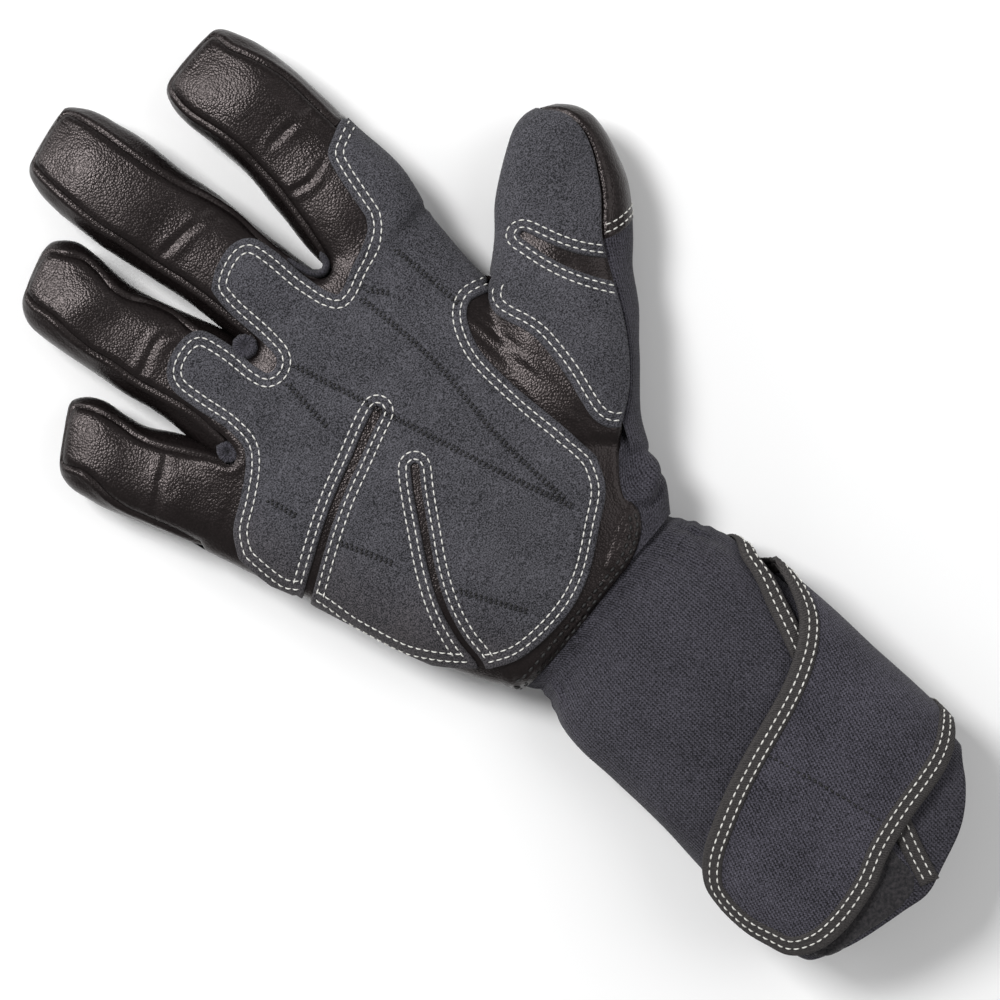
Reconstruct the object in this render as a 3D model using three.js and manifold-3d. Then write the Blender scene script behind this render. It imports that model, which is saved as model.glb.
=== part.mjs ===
// A right-hand tactical gauntlet glove, lying on its back with the palm up.
// Millimetres, +Z up, fingers along +Y, thumb towards +X, underside on z = 0.
import * as THREE from "three";
import Module from "manifold-3d";
import { mergeVertices } from "three/addons/utils/BufferGeometryUtils.js";

const wasm = await Module();
wasm.setup();

// Walls, gaps and layers
const LEATHER_WALL = 1.8; // hand, fingers and thumb
const SLEEVE_WALL = 1.8; // knitted gauntlet
const GAP = 0.3; // clearance between neighbouring pieces
const PATCH_THICK = 1.2; // suede reinforcements
const HEM_THICK = 1.2; // folded leather edge at the wrist
const HEM_LAP = 0.6; // how far hand and gauntlet are carried past each other under the hem
const TAPE_THICK = 0.8; // bound edge of the gauntlet's wrap
const STRAP_THICK = 2.0; // knitted strap
const BINDING_THICK = 2.6; // folded tape round the strap
const BINDING_WIDE = 6.5; // the folded tape seen from the front
const ROW_TO_EDGE = 1.6; // from the outer stitch row to a patch's edge
const SEAM_Z = 12.5; // level of the side seams between palm and back
const TOP = 60; // above everything, for the cutters
const FLOOR = -5; // below everything, for the cutters

// Sides of each lofted section outside and inside, and how square it is (2 is an ellipse)
const HAND_SHAPE = { sides: 24, insideSides: 18, power: 3.0 };
const FINGER_SHAPE = { sides: 14, insideSides: 10, power: 3.0 };
const THUMB_SHAPE = { sides: 16, insideSides: 12, power: 2.6 };
const SLEEVE_SHAPE = { sides: 24, insideSides: 18, power: 2.5 };

// A section runs from its left point (lx, ly) to its right point (rx, ry), low to high
const row = (lx, ly, rx, ry, low, high) => ({ lx, ly, rx, ry, low, high });

// Palm and back of the hand, from the wrist to the knuckles
const HAND_ROWS = [
  row(-47.5, -41.0, 19.5, -41.0, 1.0, 29.5),
  row(-52.0, -34.5, 24.0, -34.5, -0.5, 30.5),
  row(-61.0, -10.0, 33.0, -10.0, -1.2, 32.0),
  row(-65.4, 8.0, 38.0, 8.0, -1.2, 31.0),
  row(-69.8, 26.0, 38.5, 26.0, -1.2, 29.5),
  row(-74.8, 42.0, 35.3, 42.0, -1.2, 28.0),
  row(-78.0, 66.0, 38.0, 66.0, -1.2, 26.0),
  row(-66.0, 76.0, 40.0, 76.0, 0.5, 25.0),
  row(-54.0, 83.0, 32.0, 83.0, 3.0, 21.5),
];

// Each finger and the thumb, from inside the palm to the tip
const DIGIT_ROWS = {
  index: [
    row(8.0, 66.0, 37.5, 66.0, 2.0, 24.5),
    row(7.7, 84.0, 43.3, 84.0, -0.6, 25.5),
      row(10.8, 102.0, 43.8, 102.0, -0.8, 23.2),
    row(12.8, 117.0, 44.8, 117.0, -0.6, 22.6),
    row(13.3, 130.0, 44.8, 130.0, 0.8, 23.8),
    row(12.7, 140.0, 43.6, 140.0, 2.2, 25.0),
    row(13.8, 147.0, 41.6, 147.0, 4.2, 24.6),
    row(15.8, 150.5, 39.9, 150.5, 6.5, 22.8),
    row(18.5, 151.8, 38.0, 151.8, 9.5, 19.5),
  ],
  middle: [
    row(-26.0, 68.0, 5.5, 68.0, 2.0, 24.5),
    row(-25.2, 88.0, 4.7, 88.0, -0.6, 25.5),
    row(-26.0, 105.0, 3.6, 104.0, -0.8, 23.6),
      row(-28.3, 121.0, 3.0, 119.5, -0.6, 22.6),
    row(-30.4, 136.0, 1.4, 134.0, 0.6, 23.6),
    row(-31.5, 152.0, 0.5, 150.0, 2.4, 25.2),
    row(-31.0, 158.5, -1.2, 160.0, 4.0, 25.4),
    row(-29.0, 163.8, -3.4, 165.6, 6.0, 24.4),
    row(-26.5, 166.2, -7.0, 169.5, 9.5, 20.5),
  ],
  ring: [
    row(-55.5, 64.0, -24.6, 68.0, 2.0, 24.0),
    row(-56.0, 84.0, -25.0, 87.0, -0.6, 25.0),
      row(-58.4, 102.0, -28.6, 102.0, -0.8, 23.0),
    row(-60.5, 117.0, -33.0, 117.0, -0.4, 22.0),
    row(-61.8, 129.5, -34.1, 126.5, 0.8, 22.8),
    row(-61.8, 135.5, -33.8, 134.0, 2.2, 24.0),
    row(-60.4, 139.6, -34.6, 141.6, 4.2, 23.8),
    row(-58.0, 142.0, -38.5, 146.2, 7.5, 21.0),
    row(-54.8, 143.2, -41.8, 147.0, 10.0, 18.5),
  ],
  little: [
    row(-76.0, 48.0, -48.0, 58.0, 2.0, 23.0),
    row(-81.0, 65.0, -54.0, 75.0, -0.8, 23.6),
    row(-84.2, 75.0, -57.8, 84.0, -0.6, 21.6),
    row(-87.2, 82.5, -61.6, 91.0, 0.4, 20.8),
    row(-89.0, 89.0, -63.1, 97.0, 1.4, 21.6),
    row(-89.8, 95.0, -64.2, 104.0, 3.0, 22.6),
    row(-89.2, 99.4, -66.6, 109.6, 5.2, 21.8),
    row(-87.4, 102.0, -70.4, 112.2, 8.0, 18.8),
  ],
  thumb: [
    row(0.0, -6.0, 26.0, -30.0, 2.0, 29.0),
    row(8.0, 12.0, 36.6, -14.5, 1.0, 31.5),
      row(28.0, 37.0, 58.6, 5.0, 0.8, 30.0),
    row(37.0, 43.2, 67.6, 15.5, 1.2, 28.5),
    row(46.6, 49.6, 78.0, 25.2, 1.8, 27.5),
    row(55.0, 56.6, 85.4, 34.8, 2.6, 27.5),
      row(69.4, 64.2, 90.9, 50.4, 5.6, 27.0),
    row(74.6, 66.1, 90.2, 56.6, 8.0, 24.6),
    row(79.0, 66.2, 87.4, 61.4, 11.5, 20.5),
  ],
};
const END_SIDES = 4; // pieces in the half circle at a slot's round end
const TIP_ROWS = 3; // rows at a tip that move along the digit when its wall is offset

// Knitted gauntlet, from the wrist to past the cuff's slanted end
const SLEEVE_ROWS = [
  row(-46.6, -41.3, 18.6, -41.3, 2.0, 28.5),
  row(-43.6, -46.0, 21.0, -46.0, 2.2, 28.5),
  row(-45.0, -51.0, 23.4, -51.0, 1.2, 30.5),
  row(-48.2, -58.0, 25.6, -58.0, 0.0, 34.0),
  row(-49.6, -66.0, 26.2, -66.0, 3.6, 37.0),
  row(-50.0, -76.0, 26.0, -76.0, 4.1, 38.5),
  row(-50.6, -90.0, 26.0, -90.0, 4.1, 39.8),
  row(-52.0, -110.0, 25.6, -110.0, 4.1, 40.4),
  row(-54.0, -130.0, 25.2, -130.0, 4.1, 39.8),
  row(-54.6, -145.0, 24.0, -145.0, 4.1, 38.5),
  row(-53.8, -156.0, 22.6, -156.0, 2.0, 37.5),
  row(-53.0, -170.0, 21.0, -170.0, 0.0, 36.5),
];

// Seams between the finger fronts and their sides, as points [x, y]
const FRONT_SEAMS = {
  index: {
    left: [[8.5, 79], [11, 86], [13.8, 96], [16.2, 107], [17.7, 122], [16.5, 134], [15.9, 142], [18.8, 147.2]],
    right: [[35.2, 147.8], [36.5, 145], [39, 138.5], [41.3, 128], [41.2, 117], [40.5, 105.5], [48, 105]],
  },
  middle: {
    left: [[-22.5, 86], [-21.3, 101], [-22.8, 114], [-25, 132], [-26.2, 144], [-26, 156], [-24, 162.6]],
    right: [[-9.4, 166], [-7, 160], [-5, 150], [-3.6, 134], [0.2, 118], [0.4, 106], [0.4, 92], [3, 83]],
  },
  ring: {
    left: [[-52, 71], [-49, 80], [-51, 93], [-53, 104], [-55.2, 117], [-55, 130], [-55.2, 137], [-53.4, 140]],
    right: [[-42, 143.2], [-39.7, 140.5], [-36.8, 133], [-37.8, 123], [-34.2, 112], [-32.2, 99], [-27, 85]],
  },
  little: {
    left: [[-90, 57], [-81, 59.4], [-77, 60.8], [-78.8, 66], [-83.3, 80], [-83.3, 90], [-82, 95.5], [-83, 99]],
    right: [[-71.6, 107], [-67.8, 105], [-65.8, 98], [-65.2, 87], [-59.5, 76], [-52, 67]],
  },
};

// Knitted webs in the crotches between the fingers: round-ended strips from the palm to the crotch
const WEBS = {
  web_index_middle: { wide: 9.0, line: [[6.2, 80.6], [7.0, 86]] },
  web_middle_ring: { wide: 6.8, line: [[-24.7, 83.4], [-25.4, 91]] },
  web_ring_little: { wide: 7.0, line: [[-52.2, 68.4], [-56, 81.4]] },
};

// Other seams of the hand
const KNUCKLE_SEAM = [[-94, 56], [-79, 59.9], [-54, 76], [-25, 86], [6.6, 82], [26, 84], [52, 86]];
const GUSSET_SEAM = [[42, 52], [36.5, 42], [33.5, 36], [34.6, 26], [33.8, 16], [30, 2], [28.4, -6], [30, -18]];
const THUMB_SEAM = [
  [79, 70], [83, 61.5], [86.4, 56], [84.5, 46.5], [76.5, 35.5], [66.5, 26], [59.5, 16], [51, 4],
  [40, -7], [30, -13], [20, -20], [14.5, -27], [13.6, -34], [13.6, -46],
];
const CAP_SEAM_FRONT = [[65.5, 26], [68.6, 23.8], [71, 23.2], [82, 23.8]];
const CAP_SEAM_BACK = [[82, 23.8], [71, 23.2], [65, 31], [40, 56]];
const THUMB_BACK_SEAM = [[42, 49], [34, 36], [30, 16], [25, -6], [15, -46]];
const SIDE_SEAM_LEFT = [[-96, 60.8], [-64, 60.8], [-44, 0], [-36, -46], [-60, -46], [-96, 0]];
const SIDE_SEAM_RIGHT = [
  [50, 105.4], [32, 105.4], [30, 58], [26, 46], [36, 30], [56, 48], [72, 56], [84, 59], [84, 72], [50, 66],
];

// Suede reinforcement of the palm: its outer stitch row, stretch by stretch
const PALM_ROW = {
  index_side: [[54, 104.6], [43.8, 104.5], [38, 102.4], [34, 100.6], [32, 96], [29.8, 88], [28, 81]],
  index_base: [[25, 77.6], [20, 75.2], [12, 73], [6, 71.2], [2.6, 71.6], [0.4, 76]],
  middle_tab: [[-0.8, 84], [-1.1, 96], [-2.4, 102], [-6, 103.9], [-13, 102.8], [-17.3, 100.6]],
  middle_ring: [[-18.3, 94], [-18.6, 80], [-20.2, 73], [-24.4, 70.9], [-28.2, 72.4], [-29.6, 78]],
  ring_tab: [[-30.4, 89], [-32.4, 95.6], [-37, 96.7], [-43.6, 94.8], [-46, 91.4], [-45.6, 82]],
  little_base: [[-44.4, 72], [-45.4, 64], [-49.4, 59.4], [-58, 54], [-66, 49.8], [-70.3, 44.4]],
  little_side: [[-70.2, 36], [-69.2, 29], [-67.2, 26.6], [-65.6, 17], [-64.4, 6], [-61.4, -7], [-56, -17.6]],
  heel: [[-47.3, -29], [-40, -33.3], [-24, -35.2], [-12, -33], [2, -25.6], [11, -20], [15.4, -13]],
  thumb_side: [[15.7, -2], [15.3, 18], [16.6, 32], [20.4, 40.4], [26.6, 45.6], [33, 41.8], [40, 44]],
};
const PALM_FREE_EDGE = [[41, 52], [47, 70], [52, 98]]; // past the silhouette, where the patch wraps the side

// Slots in the palm patch: a centre line and how wide each is
const PALM_SLOTS = [
  { wide: 4.2, line: [[-76, 20], [-68, 23.6], [-60, 27.3], [-50, 31.8], [-40, 35.6], [-30, 38.6], [-20, 41.8], [-14, 43.3]] },
  { wide: 3.0, line: [[-58, -38], [-50.5, -28], [-48.4, -18], [-45, -8.7], [-39.2, 0.9], [-31.8, 10.4], [-18, 25.4]] },
];

// Suede patch on the front of the thumb, and the slot across its joint
const THUMB_PATCH = [
  [39.4, 50], [37.4, 42.6], [34, 38.8], [31, 32], [31.6, 22], [30.8, 12], [27.6, 2], [25.6, -7], [28.4, -13.6],
  [38, -6.6], [49, 3.8], [57.4, 15.6], [64.6, 26], [74.6, 36], [82.6, 46.8], [84.6, 55.6], [81.4, 61.4],
  [77, 70], [60, 74], [46, 62],
];
const THUMB_SLOT = { wide: 3.4, line: [[66, 14], [57.4, 24], [53.6, 34], [52.2, 45.6]] };

// Folded leather hem across the wrist
const WRIST_HEM = [
  [-64, -33], [-64, -42.2], [-10, -42.2], [6, -39.8], [13.2, -35.6],
  [13.2, -27.6], [10, -28.4], [2, -31.4], [-10, -36], [-22, -37.6], [-34, -37.2], [-46, -34.6],
];

// Cuff: slanted end, bound edge of the wrap and loop pile under the strap
const CUFF_END = [
  [-60, -149], [-53, -154], [-48, -159], [-38, -163], [-26, -165.4], [-10, -167], [-4, -165], [6, -162], [13, -156], [17, -150.6], [30, -146],
];
const WRAP_EDGE = [[31, -52], [23, -68], [15.4, -87], [6, -112], [-3, -140], [-12, -168]];
const LOOP_PANEL = [[-52, -128], [-50, -156], [-38, -160.6], [-15.4, -163], [-11.6, -150], [-8, -128]];

// Strap: its front outline, and the band that goes on round the back
const STRAP_FRONT = [
  [46, -66], [28, -76], [20, -88], [7, -95], [-10, -99], [-30, -103.5], [-47, -110], [-55.5, -118.5], [-59.4, -131],
  [-57.4, -144], [-51, -152.6], [-38, -156], [-22, -154], [-8, -150], [12, -148], [22, -145], [46, -138],
];
const STRAP_BACK = [[46, -66], [28, -70], [-14, -72], [-14, -142], [28, -142], [46, -138]];
const SLEEVE_MIDDLE = 20; // half way up the gauntlet
const STRAP_TURN = 17; // level where the front outline hands over to the back one

// Loft along rows: each ring is a superellipse in its own upright plane
function loft(rows, shape, { grow = 0, startShift = 0, tipShift = 0 } = {}) {
  const { power } = shape;
  const sides = grow < 0 ? shape.insideSides : shape.sides;
  const last = rows.length - 1;
  const rings = rows.map((r, i) => {
    const left = new THREE.Vector2(r.lx, r.ly);
    const right = new THREE.Vector2(r.rx, r.ry);
    const across = right.clone().sub(left);
    const half = across.length() / 2 + grow;
    across.normalize();
    const ahead = new THREE.Vector2(-across.y, across.x);
    const towards = Math.sign(rows[Math.min(i + 1, last)].ly - rows[Math.max(i - 1, 0)].ly) || 1;
    const slide = i === 0 ? -startShift : i > last - TIP_ROWS ? tipShift : 0;
    const centre = left.add(right).multiplyScalar(0.5).addScaledVector(ahead, slide * towards);
    const middle = (r.low + r.high) / 2;
    const tall = (r.high - r.low) / 2 + grow;
    return Array.from({ length: sides }, (_, k) => {
      const turn = (2 * Math.PI * (k + 0.5)) / sides;
      const bend = (v) => Math.sign(v) * Math.abs(v) ** (2 / power);
      const u = bend(Math.cos(turn)) * half;
      const z = Math.max(middle + bend(Math.sin(turn)) * tall, -grow); // flattened where it rests
      return [centre.x + across.x * u, centre.y + across.y * u, z];
    });
  });
  const faces = [];
  for (let i = 0; i < last; i++)
    for (let k = 0; k < sides; k++) {
      const a = i * sides + k;
      const b = i * sides + ((k + 1) % sides);
      faces.push([a, b, b + sides], [a, b + sides, a + sides]);
    }
  for (let k = 1; k < sides - 1; k++) {
    faces.push([0, k + 1, k], [last * sides, last * sides + k, last * sides + k + 1]);
  }
  return solidFrom(rings.flat(), faces);
}

// A closed solid from points and triangles, turned the right way round
function solidFrom(points, faces) {
  const vertProperties = new Float32Array(points.flat());
  const build = (list) => new wasm.Manifold(
    new wasm.Mesh({ numProp: 3, vertProperties, triVerts: new Uint32Array(list.flat()) }),
  );
  const made = build(faces);
  return made.volume() > 0 ? made : build(faces.map(([a, b, c]) => [a, c, b]));
}

// An upright prism over a closed outline
function prism(outline, low, high) {
  const shape = new THREE.Shape(outline.map(([x, y]) => new THREE.Vector2(x, y)));
  const block = new THREE.ExtrudeGeometry(shape, { depth: high - low, bevelEnabled: false });
  block.translate(0, 0, low);
  block.deleteAttribute("normal");
  block.deleteAttribute("uv");
  const merged = mergeVertices(block, 1e-4);
  return new wasm.Manifold(
    new wasm.Mesh({
      numProp: 3,
      vertProperties: merged.attributes.position.array,
      triVerts: new Uint32Array(merged.index.array),
    }),
  );
}

// A smooth line through a few points, with `steps` pieces between each pair
function smooth(points, steps = 2, closed = false) {
  const curve = new THREE.CatmullRomCurve3(
    points.map(([x, y]) => new THREE.Vector3(x, y, 0)), closed, "centripetal",
  );
  const count = (closed ? points.length : points.length - 1) * steps;
  const line = Array.from({ length: count + (closed ? 0 : 1) }, (_, i) => curve.getPoint(i / count));
  return line.map((p) => [p.x, p.y]);
}

// Moves each point of a line sideways, to its right when distance is positive
function sideways(line, distance, closed = false) {
  const n = line.length;
  return line.map(([x, y], i) => {
    const before = line[closed ? (i + n - 1) % n : Math.max(i - 1, 0)];
    const after = line[closed ? (i + 1) % n : Math.min(i + 1, n - 1)];
    const a = new THREE.Vector2(x - before[0], y - before[1]).normalize();
    const b = new THREE.Vector2(after[0] - x, after[1] - y).normalize();
    const along = a.clone().add(b).normalize();
    const stretch = Math.min(1 / Math.max(along.dot(b.lengthSq() > 0.5 ? b : a), 0.5), 1.6);
    return [x + along.y * distance * stretch, y - along.x * distance * stretch];
  });
}

// Half a circle round an end point of a ribbon, from one of its edges to the other
function roundEnd([ex, ey], [sx, sy]) {
  const radius = Math.hypot(sx - ex, sy - ey);
  const start = Math.atan2(sy - ey, sx - ex);
  return Array.from({ length: END_SIDES - 1 }, (_, k) => {
    const turn = start + (Math.PI * (k + 1)) / END_SIDES;
    return [ex + Math.cos(turn) * radius, ey + Math.sin(turn) * radius];
  });
}

// Outline of a ribbon of even width along a line, with a round end ahead and behind when asked
function ribbon(line, wide, { ahead = false, behind = false } = {}) {
  const right = sideways(line, wide / 2);
  const left = sideways(line, -wide / 2).reverse();
  return [
    ...right,
    ...(ahead ? roundEnd(line[line.length - 1], right[right.length - 1]) : []),
    ...left,
    ...(behind ? roundEnd(line[0], left[left.length - 1]) : []),
  ];
}

const join = (solids) => solids.reduce((a, b) => a.add(b));
const slit = (line, low, high) => prism(ribbon(line, GAP), low, high);

// The hand with its fingers and thumb, grown or shrunk by an offset
function handBody(grow, startShift = 0) {
  const digits = Object.entries(DIGIT_ROWS).map(([name, rows]) => loft(
    rows, name === "thumb" ? THUMB_SHAPE : FINGER_SHAPE, { grow, tipShift: grow },
  ));
  return join([loft(HAND_ROWS, HAND_SHAPE, { grow, startShift }), ...digits]);
}

// A layer that lies on the outside of a body, between two offsets
const layer = (body, thick) => body(GAP + thick).subtract(body(GAP));

const pieces = new Map();

// The cut-and-sewn shell of the hand
function makeHand() {
  let shell = handBody(0).subtract(handBody(-LEATHER_WALL, 4));
  for (const [name, web] of Object.entries(WEBS)) {
    const round = (wide) => prism(ribbon(web.line, wide, { ahead: true, behind: true }), FLOOR, TOP);
    pieces.set(name, shell.intersect(round(web.wide - 2 * GAP)));
    shell = shell.subtract(round(web.wide));
  }
  const cuts = Object.values(FRONT_SEAMS).map(({ left, right }) => slit([...left, ...right], SEAM_Z, TOP));
  cuts.push(
    slit(KNUCKLE_SEAM, FLOOR, SEAM_Z + GAP),
    slit(GUSSET_SEAM, SEAM_Z, TOP),
    slit(THUMB_SEAM, SEAM_Z, TOP),
    slit(CAP_SEAM_FRONT, SEAM_Z - GAP, TOP),
    slit(CAP_SEAM_BACK, FLOOR, SEAM_Z),
    slit(THUMB_BACK_SEAM, FLOOR, SEAM_Z),
    prism(SIDE_SEAM_LEFT, SEAM_Z, SEAM_Z + GAP),
    prism(SIDE_SEAM_RIGHT, SEAM_Z, SEAM_Z + GAP),
  );
  shell = shell.subtract(join(cuts));
  return shell.decompose();
}

// Each panel of the shell is found by a point on it
const PANEL_MARKS = {
  palm_panel: [-30, 20, 30],
  index_sides: [28, 120, 0],
  middle_sides: [-14, 120, 0],
  ring_sides: [-46, 115, 0],
  little_sides: [-74, 85, 0],
  back_panel: [-20, 20, 0],
  thumb_front: [60, 36, 28],
  thumb_back: [50, 20, 1],
  thumb_tip_cap: [80, 45, 4],
};

function nearestBody(bodies, [x, y, z]) {
  const distance = (body) => {
    const { vertProperties: v, numProp } = body.getMesh();
    let best = Infinity;
    for (let i = 0; i < v.length; i += numProp)
      best = Math.min(best, Math.hypot(v[i] - x, v[i + 1] - y, v[i + 2] - z));
    return best;
  };
  return bodies.reduce((a, b) => (distance(b) < distance(a) ? b : a));
}

const shellBodies = makeHand();
for (const [name, mark] of Object.entries(PANEL_MARKS)) pieces.set(name, nearestBody(shellBodies, mark));

// Suede patches: an outer layer of the hand cut to an outline, with slots
function makePatches() {
  const skin = layer(handBody, PATCH_THICK);
  const slot = ({ line, wide }) => prism(ribbon(line, wide, { ahead: true }), FLOOR, TOP);
  const palmRow = smooth([...Object.values(PALM_ROW).flat(), ...PALM_FREE_EDGE], 1, true);
  const palmOutline = sideways(palmRow, ROW_TO_EDGE, true);
  pieces.set("palm_patch", skin.intersect(prism(palmOutline, SEAM_Z, TOP)).subtract(join(PALM_SLOTS.map(slot))));
  const thumbOutline = smooth(THUMB_PATCH, 1, true);
  const palmRoom = prism(sideways(palmRow, ROW_TO_EDGE + PATCH_THICK, true), FLOOR, TOP);
  const thumbPrism = prism(thumbOutline, SEAM_Z, TOP).subtract(palmRoom).subtract(slot(THUMB_SLOT));
  pieces.set("thumb_patch", skin.intersect(thumbPrism));
}
makePatches();

// Folded leather hem, which covers the join of the hand and the gauntlet
const sleeve = (grow, startShift = 0) => loft(SLEEVE_ROWS, SLEEVE_SHAPE, { grow, startShift });
const handAndSleeve = (grow) => handBody(grow, HEM_LAP).add(sleeve(grow, HEM_LAP));
const hemPrism = prism(WRIST_HEM, SEAM_Z, TOP).subtract(sleeve(GAP));
pieces.set("palm_hem", layer(handAndSleeve, HEM_THICK).intersect(hemPrism));

// Gauntlet, bound wrap edge, loop pile, strap and its binding
function makeCuff() {
  const inside = loft(SLEEVE_ROWS, SLEEVE_SHAPE, { grow: -SLEEVE_WALL, startShift: 2, tipShift: 2 });
  const beyond = prism([...CUFF_END, [60, -190], [-90, -190]], FLOOR, TOP);
  pieces.set("gauntlet", sleeve(0).subtract(inside).subtract(beyond));

  const tape = prism(ribbon(smooth(WRAP_EDGE), BINDING_WIDE), SLEEVE_MIDDLE, TOP);
  const tapeRoom = prism(ribbon(smooth(WRAP_EDGE), BINDING_WIDE + 2 * GAP), FLOOR, TOP);
  const inner = layer(sleeve, TAPE_THICK).subtract(beyond);
  pieces.set("wrap_binding", inner.intersect(tape));
  pieces.set("loop_panel", inner.intersect(prism(LOOP_PANEL, SLEEVE_MIDDLE, TOP)).subtract(tapeRoom));

  const base = GAP + TAPE_THICK;
  const outer = (grow) => sleeve(base + grow);
  const front = smooth(STRAP_FRONT, 1, true);
  const region = (inset) => join([
    prism(sideways(front, -inset, true), STRAP_TURN, TOP),
    prism(sideways(STRAP_BACK, -inset, true), FLOOR, STRAP_TURN + GAP),
  ]);
  pieces.set("wrist_strap", layer(outer, STRAP_THICK).intersect(region(BINDING_WIDE + GAP)));
  pieces.set("strap_binding", layer(outer, BINDING_THICK).intersect(region(0)).subtract(region(BINDING_WIDE)));
}
makeCuff();

const FINISHES = {
  leather: new THREE.MeshStandardMaterial({ color: 0x2d2726, roughness: 0.45, metalness: 0 }),
  suede: new THREE.MeshStandardMaterial({ color: 0x3e4248, roughness: 0.95, metalness: 0 }),
  knit: new THREE.MeshStandardMaterial({ color: 0x302f3a, roughness: 0.9, metalness: 0 }),
  binding: new THREE.MeshStandardMaterial({ color: 0x413c3a, roughness: 0.85, metalness: 0 }),
  loop: new THREE.MeshStandardMaterial({ color: 0x26262b, roughness: 1, metalness: 0 }),
};

const FINISH_OF = {
  palm_patch: "suede",
  thumb_patch: "suede",
  web_index_middle: "knit",
  web_middle_ring: "knit",
  web_ring_little: "knit",
  back_panel: "knit",
  thumb_back: "knit",
  gauntlet: "knit",
  wrist_strap: "knit",
  strap_binding: "binding",
  wrap_binding: "binding",
  loop_panel: "loop",
}; // the other pieces are leather

const glove = new THREE.Group();
for (const [name, solid] of pieces) {
  const { vertProperties, triVerts, numProp } = solid.getMesh();
  const position = new Float32Array((vertProperties.length / numProp) * 3);
  for (let i = 0; i < position.length / 3; i++)
    position.set(vertProperties.subarray(i * numProp, i * numProp + 3), i * 3);
  const geometry = new THREE.BufferGeometry();
  geometry.setAttribute("position", new THREE.BufferAttribute(position, 3));
  geometry.setIndex(new THREE.BufferAttribute(new Uint32Array(triVerts), 1));
  const mesh = new THREE.Mesh(geometry, FINISHES[FINISH_OF[name] ?? "leather"].clone());
  mesh.name = name;
  glove.add(mesh);
}

export default glove;
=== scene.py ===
"""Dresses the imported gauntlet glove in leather, suede, knit, folded tape and thread.

The glove lies on its back, palm up, fingers along +Y and thumb along +X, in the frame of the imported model.
Every table here is in millimetres; a mesh is turned into metres when it is made.
"""

import logging
import math
from collections.abc import Callable
from dataclasses import dataclass, field
from enum import Enum

import bpy
import numpy as np
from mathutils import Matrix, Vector
from mathutils.geometry import delaunay_2d_cdt


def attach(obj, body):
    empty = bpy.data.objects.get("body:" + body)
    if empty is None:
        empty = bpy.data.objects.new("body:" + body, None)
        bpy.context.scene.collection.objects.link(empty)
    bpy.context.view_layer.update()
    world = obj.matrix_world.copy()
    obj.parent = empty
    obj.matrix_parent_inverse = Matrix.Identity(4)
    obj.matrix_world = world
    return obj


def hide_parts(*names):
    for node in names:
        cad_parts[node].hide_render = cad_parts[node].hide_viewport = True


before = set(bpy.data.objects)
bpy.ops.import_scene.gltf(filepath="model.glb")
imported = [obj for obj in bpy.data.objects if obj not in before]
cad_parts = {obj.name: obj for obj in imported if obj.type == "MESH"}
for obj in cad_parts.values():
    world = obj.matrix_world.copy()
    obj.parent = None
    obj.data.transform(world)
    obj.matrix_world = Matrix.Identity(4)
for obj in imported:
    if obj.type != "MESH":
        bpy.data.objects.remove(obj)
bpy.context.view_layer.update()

Array = np.ndarray
Points = list[tuple[float, ...]]
Surface = Callable[[Array], Array]
Relief = Callable[[Array, Array], Array]

MM = 0.001
TINY = 1e-9
SAME = 1e-6
# The height given off a tube, and those that the front's sheets stay above and the back's below.
FAR_BELOW = -1000.0
SEAM_Z = 12.5
BACK_SEAM_Z = 15.5
# The points of a smooth line's span, and how many points are measured at once.
SPAN_POINTS = 10
AT_ONCE = 1500
# The distances between two points of an edge, of a seam that is found in a tube, and of a small bend.
EDGE_STEP = 0.9
SEAM_STEP = 0.8
BEND_STEP = 0.7
# How near its edge a sheet's last points lie, which are tucked in.
RIM = 0.05
# The waves that scatter the values of the noise's lattice.
LATTICE_WAVES = (127.1, 311.7, 74.7)
SEED_WAVE = 17.3
SCATTER = 43758.5453

log = logging.getLogger("glove")


class Slot(Enum):
    """The record's material slots."""

    LEATHER = "leather"
    SUEDE = "suede"
    KNIT = "knit"
    BINDING = "binding"
    LOOP = "loop"
    THREAD = "thread"
    DARK_THREAD = "dark_thread"


# Lines and regions in a plane.


def lengths_along(line: Array) -> Array:
    """Gives each point's distance from the first, measured along the line."""
    return np.concatenate([[0], np.cumsum(np.linalg.norm(np.diff(line, axis=0), axis=1))])


def thinned(loop: Array, least: float) -> Array:
    """Drops the points of a closed loop that lie nearer than a least distance to the one before."""
    return loop[np.linalg.norm(np.diff(loop, axis=0, prepend=loop[-1:]), axis=1) > least]


def even(line: Array, step: float) -> Array:
    """Spaces a line's points evenly by its length.

    Args:
        line: The points, one a row.
        step: The distance wanted between two points.

    Returns:
        Points along the same line, its two ends among them.
    """
    way = lengths_along(line)
    count = max(2, int(round(way[-1] / step)) + 1)
    at = np.linspace(0, way[-1], count)
    return np.stack([np.interp(at, way, column) for column in line.T], -1)


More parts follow.
